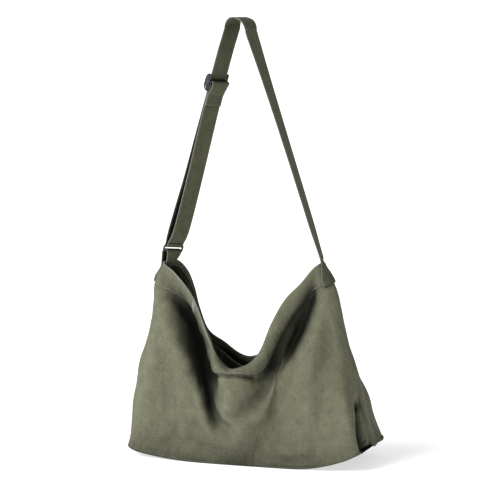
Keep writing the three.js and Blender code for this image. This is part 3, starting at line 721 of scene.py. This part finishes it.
def lay_open(shell):
    """Where the front hangs slack, in the middle, the cloth under the lip lies over outward as a shelf,
    and from there drops to the foot."""
    down = (shell.height[:, -1:] - shell.height)[:, :, None]
    lip, foot = shell.points[:, -1:], shell.points[:, :1]
    rim = lip + SHELF * np.array((0, -math.cos(SHELF_SLOPE), -math.sin(SHELF_SLOPE)))
    along = np.clip(down / SHELF, 0, 1)
    on_shelf = lip + (rim - lip) * along + UP * SHELF_RISE * np.sin(math.pi * along)
    fall = np.clip((down - SHELF) / (down[:, :1] - SHELF), 0, 1)
    dropping = rim + (foot - rim) * fall + FORWARD * SHELF_BELLY * np.sin(math.pi * fall ** 0.8)
    target = np.where(down < SHELF, on_shelf, dropping)
    spread = np.where(shell.s < SHELF_AT, SHELF_LEFT, SHELF_RIGHT)[:, None, None]
    spread = spread * (1 - SHELF_NARROWS * smoothstep((down - SHELF) / 100))
    share = bell(shell.s[:, None, None] - SHELF_AT, spread)
    shell.points = shell.points + (target - shell.points) * share
    for _ in range(SHELF_SMOOTHING):
        middle = shell.points[:, 1:-1]
        middle += 0.25 * (shell.points[:, :-2] + shell.points[:, 2:] - 2 * middle) * share[:, 1:-1]
    shell.measure()


def ease(shell):
    """Lets the deep folds run out smoothly at their ends."""
    down = shell.height[:, -1:] - shell.height
    share = np.zeros_like(down)
    for (s, far), (around, along) in FOLD_ENDS:
        near = np.exp(-((shell.s[:, None] - s) / around) ** 2 - ((down - far) / along) ** 2)
        share = np.maximum(share, near)
    share = 0.25 * share[:, 1:-1, None]
    for _ in range(EASING):
        p = shell.points
        beside = (np.roll(p, 1, 0) + np.roll(p, -1, 0))[:, 1:-1]
        p[:, 1:-1] += share * (beside + p[:, :-2] + p[:, 2:] - 4 * p[:, 1:-1])
    shell.measure()


def puckers(s, count, turns):
    """A wavering ripple along a seam, 1 high."""
    return np.sin(2 * math.pi * s * count + 3 * np.sin(2 * math.pi * s * turns))


def relief(shell):
    """The gentle unevenness of worn canvas, and the puckers that its seams pull, in millimetres out."""
    s, up = shell.s[:, None], shell.height
    down = shell.height[:, -1:] - up
    push = np.zeros_like(up)
    for round_it, slant, high, phase in WAVES:
        push += high * np.sin(2 * math.pi * (s / 2 * round_it + up * slant) + phase)
    push *= smoothstep(up / 30) * smoothstep(down / 30)
    uneven = 1 + 0.5 * np.sin(2 * math.pi * s * 7.5 + 1)
    push += FOOT_PUCKER * puckers(s, 44, 5) * uneven * bell(up - 13, 8)
    return push + BAND_PUCKER * puckers(s, 37, 4) * uneven * bell(down - 44, 9)


SEAM_LAP = 4.5  # how far the front panel laps over the back one at the side seams
SEAM_LIFT = CLOTH + 0.25
start_shape = join_walls(folded(wall_start(-1), -1), folded(wall_start(1), 1))
cut_shape = join_walls(pattern(-1), pattern(1))
body = Shell(soften(settle(start_shape, cut_shape), 3))
lay_open(body)
ease(body)
press_folds(body)
body.push(relief(body))
# Painted highlight and wear: ridges where the cloth turns sharply outward are paled.
wear_and_highlight_map = 0.35 * smoothstep((body.creases() - 0.09) / 0.12)


def from_seam(s):
    """Distance in millimetres from the nearest side seam."""
    return np.abs(np.mod(s + 0.5, 1) - 0.5) * AROUND


def over_seam(s):
    """How much the lapped seam lifts what lies on it."""
    return SEAM_LIFT * (1 - smoothstep((from_seam(s) - SEAM_LAP) / 3))


def panel(name, s_range, lapped):
    """A body panel, foot to lip. The lapped one passes over the other at both side seams."""
    s = np.array(s_range)[:, None]
    rows = np.arange(body.points.shape[1], dtype=float)[None, :]
    s, rows = np.broadcast_arrays(s, rows)
    past = lapped & ((s < 0) | (s > 1))
    out = np.where(past, SEAM_LIFT, over_seam(s) * lapped)
    point, normal = body.sample(body.points, s, rows), unit(body.sample(body.normals, s, rows))
    outer = point + normal * out[..., None]
    inner = point + normal * (out - CLOTH)[..., None]
    hem = np.where(past & (from_seam(s) > SEAM_LAP - 1.2), 0.5, 0)
    return thick_sheet(name, outer, inner, CANVAS, np.maximum(body.sample(wear_and_highlight_map, s, rows), hem))


def with_seams(start, end):
    """Even places from start to end, with closer ones beside both ends."""
    close = np.array([-4.5, -4.2, -3.4, -2.2, -1.2, 0, 1.2, 2.2, 3.2, 4.2, 5.2, 6.2, 7.6]) / AROUND
    even = np.linspace(start, end, COLUMNS * FINER + 1)
    even = even[(even > start + 9 / AROUND) & (even < end - 9 / AROUND)]
    return np.concatenate([start + close, even, (end - close)[::-1]])


front_panel = panel("front_panel_cloth", with_seams(0, 1), True)
plain_places = with_seams(1, 2)
back_panel = panel("back_panel_cloth", plain_places[(plain_places >= 1) & (plain_places <= 2)], False)
for made in (front_panel, back_panel):
    riding(made, "bag", made.name.removesuffix("_cloth"))


def base_panel():
    """The base: turned up inside the walls all round, and flat where the bag stands on it."""
    s = np.linspace(0, 1, COLUMNS * FINER + 1)[1:-1]
    front_edge = body.at(s, up=0, out=-CLOTH - 0.4)
    back_edge = body.at(2 - s, up=0, out=-CLOTH - 0.4)
    across = 0.5 - 0.5 * np.cos(np.linspace(0, math.pi, 41))
    grid = front_edge[:, None] * (1 - across[None, :, None]) + back_edge[:, None] * across[None, :, None]
    span = norm(back_edge - front_edge, axis=1)[:, None]
    edge = np.minimum(across, 1 - across)[None, :] * span
    ends = np.minimum(s, 1 - s)[:, None] * AROUND
    grid[:, :, 2] += 5 * (1 - smoothstep(np.minimum(edge, ends) / 7)) - 0.5
    grid[:, :, 2] = np.maximum(grid[:, :, 2], 0.4)
    return riding(thick_sheet("base_panel_cloth", grid, grid + UP * CLOTH, CANVAS), "bag", "base_panel")


base = base_panel()
BAND_GAP = 0.0006  # in s, between a band's ends and the side seams
BAND_RIDGE = 0.214  # in s, where a ridge crosses the front band; it is paled there, wear and painted highlight
LIP_ROW = 22       # of the band's section, where it turns over the lip
BAND_PUFF = 1.1    # how far it stands off the panel between its edges
BAND_PLEAT = 0.3   # beside its stitches


def mouth_band(side, start):
    """The band folded over a lip: down the outside, over the edge, and down the inside."""
    s = start + np.linspace(BAND_GAP, 1 - BAND_GAP, 261)
    pleat = BAND_PLEAT * puckers(s, 37, 4)
    crossing = bell((s - BAND_RIDGE) * AROUND, 4.5) if side == "front" else 0 * s
    lift = over_seam(s) + 0.9 * crossing

    def section(gap):
        """The band's line at a distance from the cloth, as (down, out) pairs for every place."""
        places = []
        for share in np.linspace(0, 1, 19):
            down = (BAND + 0.5 * np.sin(2 * math.pi * s * 33)) * (1 - share)
            puff = BAND_PUFF * np.sin(math.pi * share) ** 0.8 + pleat * bell(share * BAND - 7, 8)
            places.append((down, gap + lift + puff - 0.15 * bell(share * BAND, 3.5)))
        middle = (lift - CLOTH) / 2
        half = CLOTH / 2 + gap + lift / 2
        for turn in np.linspace(0, math.pi, 9)[1:-1]:
            places.append((-half * math.sin(turn), middle + half * math.cos(turn)))
        for share in np.linspace(0, 1, 7):
            places.append((BAND_INSIDE * share, -CLOTH - gap))
        return places

    def grid(gap):
        down, out = (np.stack([np.broadcast_to(v, s.shape) for v in values], axis=1)
                     for values in zip(*section(gap)))
        return body.at(np.broadcast_to(s[:, None], down.shape), down=down, out=out)

    far, near = grid(BAND_LIFT + BAND_CLOTH), grid(BAND_LIFT)
    k = np.arange(far.shape[1])[None, :]
    # Painted highlight and wear: the band is paled where it turns over the lip, along its lower edge and
    # over the ridge.
    wear_and_highlight = np.broadcast_to(bell(k - LIP_ROW, 2.3) + 0.35 * bell(k, 0.8), far.shape[:2])
    made = thick_sheet("band_%s_cloth" % side, far, near, CANVAS, np.maximum(wear_and_highlight, 0.6 * crossing[:, None]))
    return riding(made, "bag", "mouth_band_" + side)


band_front = mouth_band("front", 0)
band_back = mouth_band("back", 1)


# ---------- inside the bag ----------
def binding_fin(name, s, up, node, closed=False):
    """Binding tape folded over a seam's edges, standing inward from the wall. The closed one follows the
    foot seam, the others a side seam."""
    tall, half = 8.0, 0.9  # its width, and half its thickness
    spine = [(0.4, -half), (tall - 0.8, -half * 1.15), (tall, -half * 0.6), (tall, half * 0.6),
             (tall - 0.8, half * 1.15), (0.4, half)]
    rows = [body.at(s, up=up + side, out=-CLOTH - 0.3 - deep) if closed
            else body.at(s + side / AROUND, up=up, out=-CLOTH - 0.3 - deep) for deep, side in spine]
    ring = np.stack(rows, axis=1)
    n, m = ring.shape[:2]
    index = np.arange(n * m).reshape(n, m)
    index = np.hstack([index, index[:, :1]])
    if closed:
        index = np.vstack([index, index[:1]])
    faces = quads(index).tolist()
    if not closed:
        faces += [index[0, :-1].tolist(), index[-1, :-1].tolist()]
    made = piece(name, ring.reshape(-1, 3), faces, BINDING, lengths(ring).reshape(-1, 2))
    return riding(made, "bag", node)


side_heights = np.linspace(16, END_HEIGHT - 52, 70)
for seam, end in enumerate(("left", "right")):
    places = 0 * side_heights + seam
    binding_fin("side_binding_tape_" + end, places, side_heights, "side_seam_binding_" + end)
all_round = np.linspace(0, 2, 400, endpoint=False)
binding_fin("base_binding_tape", all_round, 7 + 0 * all_round, "base_seam_binding", closed=True)


def inner_pocket():
    """A slip pocket on the back wall's inner face, open and a little slack at its hemmed top."""
    left, right, top, tall, slack, cloth, hem = 0.66, 0.36, 20, 120, 7, 1.2, 14

    def hang(across, share):
        """How far it hangs from the wall."""
        return slack * np.sin(math.pi * across) * share ** 2 + 0.6 * np.sin(across * 31) * share

    s = (2 - np.linspace(left, right, 73))[:, None]
    across = np.linspace(0, 1, 73)
    share = np.linspace(0, 1, 61)[None, :]  # bottom to top
    down = top + tall * (1 - share) + 0 * s
    hemmed = 0.9 * smoothstep((share * tall - (tall - hem)) / 1.5)
    out = -CLOTH - 0.9 - hang(across[:, None], share)
    near, far = body.at(s, down=down, out=out), body.at(s, down=down, out=out - cloth - hemmed)
    # Painted highlight and wear: the pocket's hem edge is paled.
    wear_and_highlight = 0.9 * bell((share - 1) * tall, 2.5) + 0 * s
    made = riding(thick_sheet("inner_pocket_cloth", far, near, CANVAS, wear_and_highlight), "bag", "inner_pocket")
    line_s = 2 - np.linspace(left - 0.006, right + 0.006, 73)
    line = body.at(line_s, down=top + hem - 1, out=-CLOTH - 2.0 - cloth - hang(across, 1 - hem / tall))
    riding(stitches("pocket_stitches", [(line, -body.facing(line_s, down=top + hem))]), "bag")
    return made


pocket = inner_pocket()


# ---------- stitching on the body ----------
def body_row(s, out, **place):
    """A row of places on the body, and the cloth's directions there."""
    return body.at(s, out=out, **place), body.facing(s, **place)


def seam_rows():
    """Two stitch rows along each side seam."""
    up = np.linspace(3, END_HEIGHT - 44, 120)
    rows = []
    for seam, sign in ((0, -1), (1, 1)):
        for off in (-3.2, 3.0):
            s = seam + sign * off / AROUND + 0 * up
            rows.append(body_row(s, SEAM_LIFT + 0.15, up=up))
    return rows


def band_rows():
    """A stitch row above the lower edge of each mouth band."""
    rows = []
    for start in (0, 1):
        s = np.linspace(start + 0.004, start + 0.996, 500)
        rows.append(body_row(s, BAND_LIFT + BAND_CLOTH + over_seam(s) + 0.45, down=BAND - 3))
    return rows


for name, rows in (("side_seam_stitches", seam_rows()), ("band_stitches", band_rows())):
    riding(stitches(name, rows), "bag")


# ---------- strap ----------
turn_angle = math.radians(STRAP_TURN)
width_direction = np.array((math.sin(turn_angle), math.cos(turn_angle), 0))
peak_run = np.array((math.cos(turn_angle), -math.sin(turn_angle), 0))
peak_centre = PEAK - UP * PEAK_RADIUS


def on_peak(angle):
    """A point of the strap's turn at its peak."""
    angle = np.asarray(angle)[..., None]
    return peak_centre + PEAK_RADIUS * (peak_run * np.cos(angle) + UP * np.sin(angle))


peak_from, peak_to = math.pi - math.radians(PEAK_LEFT_LEAN), math.radians(PEAK_RIGHT_LEAN)
left_top, right_top = on_peak(peak_from), on_peak(peak_to)
limb_up = unit(left_top - LEFT_PIVOT)
limb_across = -unit(width_direction - limb_up * width_direction.dot(limb_up))
limb_in = np.cross(limb_up, limb_across)
limb_origin = LEFT_PIVOT + limb_up * PIVOT_TO_RING
limb_length = norm(left_top - LEFT_PIVOT) - PIVOT_TO_RING
right_up = unit(right_top - RIGHT_PIVOT)


def on_limb(x, y, z):
    """A point in the left limb's own frame: across the strap, in towards its loop, and up it."""
    x, y, z = (np.asarray(v, float)[..., None] for v in (x, y, z))
    return limb_origin + x * limb_across + y * limb_in + z * limb_up


def arc(cy, cz, radius, start, end, count):
    """Points of an arc in the limb's upright plane, angles in degrees from Y."""
    a = np.radians(np.linspace(start, end, count))
    return np.column_stack([cy + radius * np.cos(a), cz + radius * np.sin(a)])


def rounded_line(points, spacing=4.0):
    """A soft line through given (y, z) points, in steps of about the spacing."""
    line = np.column_stack([np.asarray(points, float), np.zeros(len(points))])
    length = norm(np.diff(line, axis=0), axis=1).sum()
    return smooth_curve(line, max(4, round(length / spacing)))[:, :2]


def mirrored(half, sign=1):
    """Values across a strap, from those between one edge and the middle."""
    return np.array(half + [sign * v for v in half[-2::-1]])


RIBBON = mirrored([-1, -0.985, -0.95, -0.9, -0.82, -0.6, -0.3, 0], -1)  # places across, in half widths
EDGE = mirrored([0.30, 0.75, 0.98, 1.0, 0.92, 0.88, 0.86, 0.86])        # share of the thickness there
EDGE_WORN = mirrored([0.75, 0.6, 0.25, 0.08, 0, 0, 0, 0])
STITCH_INSET = 3.2  # of a strap's stitch rows, from its edges


def ribbon_grid(centre, across, width=STRAP_WIDTH):
    """The strap's middle surface: rows of centres, each with the direction across the strap."""
    width = np.broadcast_to(width, len(centre))
    return centre[:, None] + across[:, None] * RIBBON[None, :, None] * width[:, None, None] / 2


def sheet_normals(grid):
    """Directions out of a sheet's face, the same way round all over it."""
    return unit(np.cross(np.gradient(grid, axis=0), np.gradient(grid, axis=1)))


def webbing(name, grid, thickness=STRAP_CLOTH):
    """Folded canvas strap of a middle surface: thin rounded edges, and a hem turned in along each."""
    normal = sheet_normals(grid)
    half = normal * (thickness / 2 * EDGE)[None, :, None]
    return thick_sheet(name, grid + half, grid - half, STRAP_CANVAS, EDGE_WORN[None, :])


def edge_rows(grid, lift, rows, outside=1):
    """Stitch rows along both edges of a strap, on one face."""
    normal = sheet_normals(grid)[rows] * outside
    grid = grid[rows]
    share = 1 - STITCH_INSET / (STRAP_WIDTH / 2)
    made = []
    for sign in (-1, 1):
        k = np.interp(sign * share, RIBBON, np.arange(len(RIBBON)))
        k0 = int(k)
        a = k - k0
        line = grid[:, k0] * (1 - a) + grid[:, k0 + 1] * a
        facing = normal[:, k0] * (1 - a) + normal[:, k0 + 1] * a
        made.append((line + facing * lift, facing))
    return made


HALF = STRAP_CLOTH / 2
ON_FACE = HALF * 0.9  # from a strap's middle to the stitches on its face
FOLD_RADIUS = RING_WIRE_RADIUS + 0.3 + HALF
OUTER_Y, INNER_Y = -1.5, 1.2
SEWN_FROM, SEWN_TO = 3, 42
RIGHT_LOW_TURN, RIGHT_TURN = -6, 16  # degrees that the right limb is turned by, low and at the peak
GATHERED = 27      # the strap's width where it leaves the corner of the mouth
PEAK_TILT = 0.18   # how far the peak's far edge hangs below its near one, against the strap's width
PEAK_SQUARE = 0.8  # below 1 the peak's turn has a flatter top and rounder corners


def sewn_rows(seam, sign, downs, width, out):
    """Rows of a strap sewn flat over a corner of the mouth: sign is the way that its width runs in s."""
    across = RIBBON[None, :] * np.asarray(width)[:, None] / 2
    s = seam + sign * across / AROUND
    down = np.broadcast_to(np.asarray(downs, float)[:, None], s.shape)
    return body.at(s, down=down, out=out + over_seam(s) * (1 if out > 0 else 0))


def level_across(angle):
    """Directions across the strap, level, each turned by its angle."""
    return np.column_stack([np.sin(angle), np.cos(angle), 0 * angle])


def limb_ribbon(y_z, across=-limb_across, width=STRAP_WIDTH):
    """The strap's middle surface along a (y, z) line in the left limb's frame."""
    return ribbon_grid(on_limb(0, y_z[:, 0], y_z[:, 1]), np.broadcast_to(across, (len(y_z), 3)), width)


def long_strap():
    """The strap's long run: sewn on at the right corner, up, over the peak, down the left side's outer
    layer and round the ring's bar."""
    right_turn = math.radians(RIGHT_TURN)
    downs = np.linspace(SEWN_TO, SEWN_FROM, 14)
    sewn = sewn_rows(1 + 4 / AROUND, 1, downs, np.interp(downs, [SEWN_FROM, 26], [GATHERED, STRAP_WIDTH]),
                     SEWN_LIFT)
    steps = np.linspace(0, 1, 110)
    low = RIGHT_PIVOT + right_up * 11
    centre = low + (right_top - low) * steps[:, None]
    angle = math.radians(RIGHT_LOW_TURN) * (1 - steps) ** 2 + right_turn * steps ** 4
    bow = np.sin(math.pi * steps)[:, None] * peak_run * 1.5
    width = GATHERED + (STRAP_WIDTH - GATHERED) * smoothstep(steps / 0.16)
    right_limb = ribbon_grid(centre + bow, level_across(angle), width)
    peak_angles = np.linspace(peak_to, peak_from, 26)[1:-1]
    turns = np.linspace(right_turn, turn_angle, 26)[1:-1]
    run, rise = np.cos(peak_angles), np.sin(peak_angles)
    way = (peak_run * (np.sign(run) * np.abs(run) ** PEAK_SQUARE)[:, None]
           + UP * (rise ** PEAK_SQUARE - 1)[:, None])
    peak = ribbon_grid(PEAK + PEAK_RADIUS * way, level_across(turns))
    peak = peak - UP * PEAK_TILT * STRAP_WIDTH / 2 * RIBBON[None, :, None] * (rise ** 2)[:, None, None]
    y_z = np.vstack([
        rounded_line([(0, limb_length), (-0.4, limb_length - 14), (OUTER_Y, limb_length - 40),
                      (OUTER_Y, limb_length - 120), (OUTER_Y, 200), (OUTER_Y, 134), (-3.9, 70),
                      (-4.8, 30), (-4.4, 14), (-FOLD_RADIUS, 6), (-FOLD_RADIUS, 2)]),
        arc(0, 0, FOLD_RADIUS, 180, 360, 15)[1:],
        [(FOLD_RADIUS, 2), (FOLD_RADIUS, 4.8)]])
    left = limb_ribbon(y_z)
    joining = refine(np.concatenate([sewn[-2:], right_limb[:2]]), 6)[7:12]
    grid = np.concatenate([sewn, joining, right_limb, peak, left])
    made = webbing("strap", grid)
    last = len(grid) - 18
    thread = stitches("strap_stitches", edge_rows(grid, ON_FACE, slice(2, last))
                      + edge_rows(grid, ON_FACE, slice(len(sewn) + len(joining), last), outside=-1))
    bending((made, thread))
    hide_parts("strap_sewn_end", "strap_right_limb", "strap_peak", "strap_left_limb",
                "strap_ring_fold")
    return made


strap = long_strap()
HEAVY_STITCH = 2.6, 2.2  # pitch and length


def end_stitches(name, node, seam, top, low):
    """A box of stitches with its last row doubled, where a strap's end is sewn on."""
    across = np.linspace(-15.0, 15.0, 24) / AROUND
    paths = [low + 0 * across, low - 2.2 + 0 * across, top + 0 * across, np.linspace(top, low - 2.2, 24),
             np.linspace(low - 2.2, top, 24)]
    s = seam + across
    out = SEWN_LIFT + ON_FACE + over_seam(s)
    rows = [body_row(s, out, down=down) for down in paths]
    riding(stitches(name, rows, *HEAVY_STITCH), "bag", node)


end_stitches("strap_end_stitches", "strap_end_bartack", 1 + 4 / AROUND, 8, 37)


# ---------- slider and the strap's doubled run ----------
FOLD_IN_Y = INNER_Y + STRAP_CLOTH + 0.4
BAR_HALF_THICKNESS = 1.5
BAR_HALF_HEIGHT = 2.5
BAR_Y = FOLD_IN_Y + HALF + 0.3 + BAR_HALF_THICKNESS
FOLD_OUT_Y = BAR_Y + BAR_HALF_THICKNESS + 0.3 + HALF
Z = SLIDER_HEIGHT_ON_STRAP


def doubled_run():
    """The strap's short run: from the ring up to the slider, round its middle bar and down as a flap."""
    radius = (FOLD_OUT_Y - FOLD_IN_Y) / 2
    y_z = np.vstack([
        rounded_line([(FOLD_RADIUS, 5.2), (FOLD_RADIUS + 0.9, 8), (6.6, 15), (9.0, 28), (9.8, 52),
                      (8.8, 100), (6.6, 160), (3.8, 225), (INNER_Y + 0.3, Z - 40), (INNER_Y, Z - 24),
                      (INNER_Y + 0.5, Z - 13), (FOLD_IN_Y - 0.2, Z - 6), (FOLD_IN_Y, Z - 2)]),
        arc(BAR_Y, Z + 1, radius, 180, 0, 13),
        rounded_line([(FOLD_OUT_Y, Z - 2), (FOLD_OUT_Y - 0.4, Z - 6), (6.0, Z - 15), (FOLD_IN_Y, Z - 25),
                      (FOLD_IN_Y, Z - FLAP_LENGTH)], 2.5)])
    grid = limb_ribbon(y_z)
    made = webbing("strap_inner_layer", grid)
    thread = stitches("strap_inner_stitches", edge_rows(grid, ON_FACE, slice(3, -2))
                      + edge_rows(grid, ON_FACE, slice(3, -2), outside=-1))
    bending((made, thread))
    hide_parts("strap_inner_run", "strap_slider_fold")
    rows = []
    face = FOLD_IN_Y + HALF * 0.95
    x = np.linspace(-16, 16, 20)
    for z in (Z - FLAP_LENGTH + 3.5, Z - FLAP_LENGTH + 5.8, Z - 27):
        rows.append((on_limb(x, face + 0 * x, z + 0 * x), np.broadcast_to(limb_in, (20, 3))))
    riding(stitches("slider_fold_stitches", rows, *HEAVY_STITCH), "slider", "slider_fold_stitch")
    return made


inner_run = doubled_run()


def plate(outline, outward, x_low, x_high, bevel):
    """A solid along the strap's width with a given (y, z) outline and bevelled ends, in the limb's frame:
    its points and faces."""
    turn = np.radians(np.linspace(0, 90, 5))
    ends = [(bevel * (1 - math.sin(a)), bevel * (1 - math.cos(a))) for a in turn]
    stations = [(x_low + run, inset) for run, inset in ends]
    stations += [(x_high - run, inset) for run, inset in ends[::-1]]
    rings = []
    for x, inset in stations:
        shape = outline - outward * inset
        rings.append(on_limb(np.full(len(shape), x), shape[:, 0], shape[:, 1]))
    block = np.stack(rings)
    index = np.arange(block[..., 0].size).reshape(block.shape[:2])
    faces = quads(np.hstack([index, index[:, :1]])).tolist()
    return block.reshape(-1, 3), faces + [index[0].tolist(), index[-1].tolist()]


def rounded_box(y_low, y_high, z_low, z_high, corner, steps=6):
    """The outline of a rectangle with rounded corners, and its outward directions."""
    outline, outward = [], []
    for y, z, start in ((y_high - corner, z_high - corner, 0), (y_low + corner, z_high - corner, 90),
                        (y_low + corner, z_low + corner, 180), (y_high - corner, z_low + corner, 270)):
        for a in np.radians(np.linspace(start, start + 90, steps)):
            way = np.array((math.cos(a), math.sin(a)))
            outline.append((y, z) + corner * way)
            outward.append(way)
    return np.array(outline), np.array(outward)


CHEEK_FLAT, CHEEK_BOW = 1.8, 6.0
CHEEK_THICKNESS = 2.8
LUG_HALF_HEIGHT = 4.0


def bowed_plate(flat, bow, half_height):
    """The outline of a D-shaped plate, flat on its inner side and bowed out to bow, and its outward
    directions."""
    a = np.linspace(math.pi / 2, 3 * math.pi / 2, 25)
    power = 2 / 2.7
    run = -(np.abs(np.cos(a)) ** power)
    rise = np.sign(np.sin(a)) * np.abs(np.sin(a)) ** power
    curve = np.column_stack([flat - 1 + run * (flat - 1 - bow), Z + rise * half_height])
    curve = resample(curve, 33)
    side = np.column_stack([np.full(9, flat), Z + np.linspace(-half_height + 3, half_height - 3, 9)])
    outline = np.vstack([curve, side])
    ahead = np.roll(outline, -1, 0) - np.roll(outline, 1, 0)
    return outline, unit(np.column_stack([ahead[:, 1], -ahead[:, 0]]))


def slider_frame():
    """The slider: two bowed cheeks joined by two outer bars, and a middle bar between two lugs."""
    bar_low = OUTER_Y - HALF - 0.4 - 2 * BAR_HALF_THICKNESS
    inner = STRAP_WIDTH / 2 + 0.7
    far = inner + CHEEK_THICKNESS
    outer_bar = SLIDER_HALF_HEIGHT - 4
    cheek = bowed_plate(CHEEK_FLAT, bar_low - CHEEK_BOW, SLIDER_HALF_HEIGHT)
    lug = rounded_box(-2, BAR_Y + BAR_HALF_THICKNESS, Z - LUG_HALF_HEIGHT, Z + LUG_HALF_HEIGHT, 1.6)
    blocks = [plate(*shape, *x_range, bevel) for x_range in ((-far, -inner), (inner, far))
              for shape, bevel in ((cheek, 1.2), (lug, 0.8))]
    for y0, y1, z0, z1 in ((bar_low, bar_low + 3, Z + outer_bar - 5, Z + outer_bar),
                           (bar_low, bar_low + 3, Z - outer_bar, Z - outer_bar + 5),
                           (BAR_Y - 1.5, BAR_Y + 1.5, Z - BAR_HALF_HEIGHT, Z + BAR_HALF_HEIGHT)):
        blocks.append(plate(*rounded_box(y0, y1, z0, z1, 1.45), -inner - 1.5, inner + 1.5, 0.2))
    points, faces = [], []
    for block, sides in blocks:
        start = sum(len(p) for p in points)
        points.append(block)
        faces += [[v + start for v in face] for face in sides]
    riding(piece("slider_metal", np.concatenate(points), faces, GUNMETAL), "slider", "slider")


slider_frame()


# ---------- ring and its tab ----------
def ring():
    """A rounded rectangle of wire: its upper bar lies in the strap's fold, its lower one in the tab's."""
    path, _ = rounded_box(-RING_HALF_WIDTH, RING_HALF_WIDTH, -RING_BAR_SPACING, 0, RING_CORNER, 9)
    wire = on_limb(path[:, 0], 0 * path[:, 0], path[:, 1])
    riding(tube("ring_wire", wire, RING_WIRE_RADIUS, GUNMETAL), "ring", "ring")


ring()


def ring_tab():
    """A short strap doubled over the ring's lower bar. Its outer leg is sewn on outside the left corner,
    and its inner leg is gathered into the mouth."""
    outer_downs = np.linspace(38, 3, 12)
    outer = sewn_rows(0, 1, outer_downs, np.full(12, STRAP_WIDTH), SEWN_LIFT)
    inner_downs = np.linspace(2, 30, 10)
    gathered = np.interp(inner_downs, [2, 14, 30], [22, 15, 12])
    inside = sewn_rows(0, 1, inner_downs, gathered, -(CLOTH + BAND_LIFT + BAND_CLOTH + 0.8 + HALF))
    top = -RING_BAR_SPACING + RING_WIRE_RADIUS + 0.5 + HALF
    corner, side = 2.6, 5.8
    y_z = np.vstack([[(-side - 0.5, top - 8)], arc(-side + corner, top - corner, corner, 180, 90, 7),
                     arc(side - corner, top - corner, corner, 90, 0, 7), [(side + 0.5, top - 8)]])
    width = np.interp(np.arange(len(y_z)), [0, len(y_z) - 3, len(y_z) - 1], [STRAP_WIDTH, STRAP_WIDTH, 31])
    over = limb_ribbon(y_z, limb_across, width)
    down_in = refine(np.concatenate([over[-2:], inside[:2]]), 8)[9:16]
    up_out = refine(np.concatenate([outer[-2:], over[:2]]), 8)[9:16]
    grid = np.concatenate([outer, up_out, over, down_in, inside])
    made = webbing("ring_tab", grid, thickness=1.8)
    last = len(outer) + len(up_out) + 8
    thread = stitches("ring_tab_stitches", edge_rows(grid, 0.8, slice(1, last)))
    bending((made, thread))
    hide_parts("ring_tab_loop", "ring_tab_outer_leg", "ring_tab_inner_leg")
    return made


tab = ring_tab()
end_stitches("ring_tab_end_stitches", "ring_tab_bartack", 0, 12, 33)


# ---------- stage ----------
LOOK_AT = Vector((-0.0072, -0.003, 0.3941))
CAMERA_TURN, CAMERA_RISE = math.radians(17), math.radians(13.5)  # to the right of the front, and up
CAMERA_DISTANCE = 24.0
SEEN_WIDTH = 0.931     # of the picture, at the bag
FLOOR_HALF = 100
FLOOR_GLOW = 0.62
SKY_LIGHT = 0.25       # light from the sky, which is plain white where it is seen past the floor
SUN_FROM = Vector((-0.74, -0.60, 0.75))
SUN_STRENGTH, SUN_ANGLE = 3.3, math.radians(40)


def stage():
    """Camera, floor and light. The camera looks from the front, a little to the right and above."""
    scene = bpy.context.scene
    level = math.cos(CAMERA_RISE)
    away = Vector((math.sin(CAMERA_TURN) * level, -math.cos(CAMERA_TURN) * level, math.sin(CAMERA_RISE)))
    data = bpy.data.cameras.new("camera")
    data.sensor_width = 36
    data.lens = data.sensor_width * CAMERA_DISTANCE / SEEN_WIDTH
    data.clip_end = 200
    scene.camera = add_object("camera", data)
    scene.camera.location = LOOK_AT + away * CAMERA_DISTANCE
    sun = bpy.data.lights.new("key", "SUN")
    sun.energy, sun.angle = SUN_STRENGTH, SUN_ANGLE
    for one, way in ((scene.camera, away), (add_object("key", sun), SUN_FROM)):
        one.rotation_euler = way.to_track_quat("Z", "Y").to_euler()

    far = FLOOR_HALF
    mesh = bpy.data.meshes.new("floor")
    mesh.from_pydata([(-far, -far, 0), (far, -far, 0), (far, far, 0), (-far, far, 0)], [], [(0, 1, 2, 3)])
    white = bpy.data.materials.new("floor")
    Nodes(white).shade({"Base Color": (0.92, 0.92, 0.92, 1), "Roughness": 1.0,
                        "Emission Color": (1, 1, 1, 1), "Emission Strength": FLOOR_GLOW})
    mesh.materials.append(white)
    add_object("floor", mesh)

    scene.world = bpy.data.worlds.new("studio")
    nodes = Nodes(scene.world)
    seen = nodes.add("LightPath")["Is Camera Ray"]
    strength = nodes.add("Math", {0: seen, 1: 1 - SKY_LIGHT, 2: SKY_LIGHT}, operation="MULTIPLY_ADD")[0]
    nodes.fill(nodes.tree.nodes["Background"], {"Color": (1, 1, 1, 1), "Strength": strength})
    scene.view_settings.view_transform = "Standard"


stage()
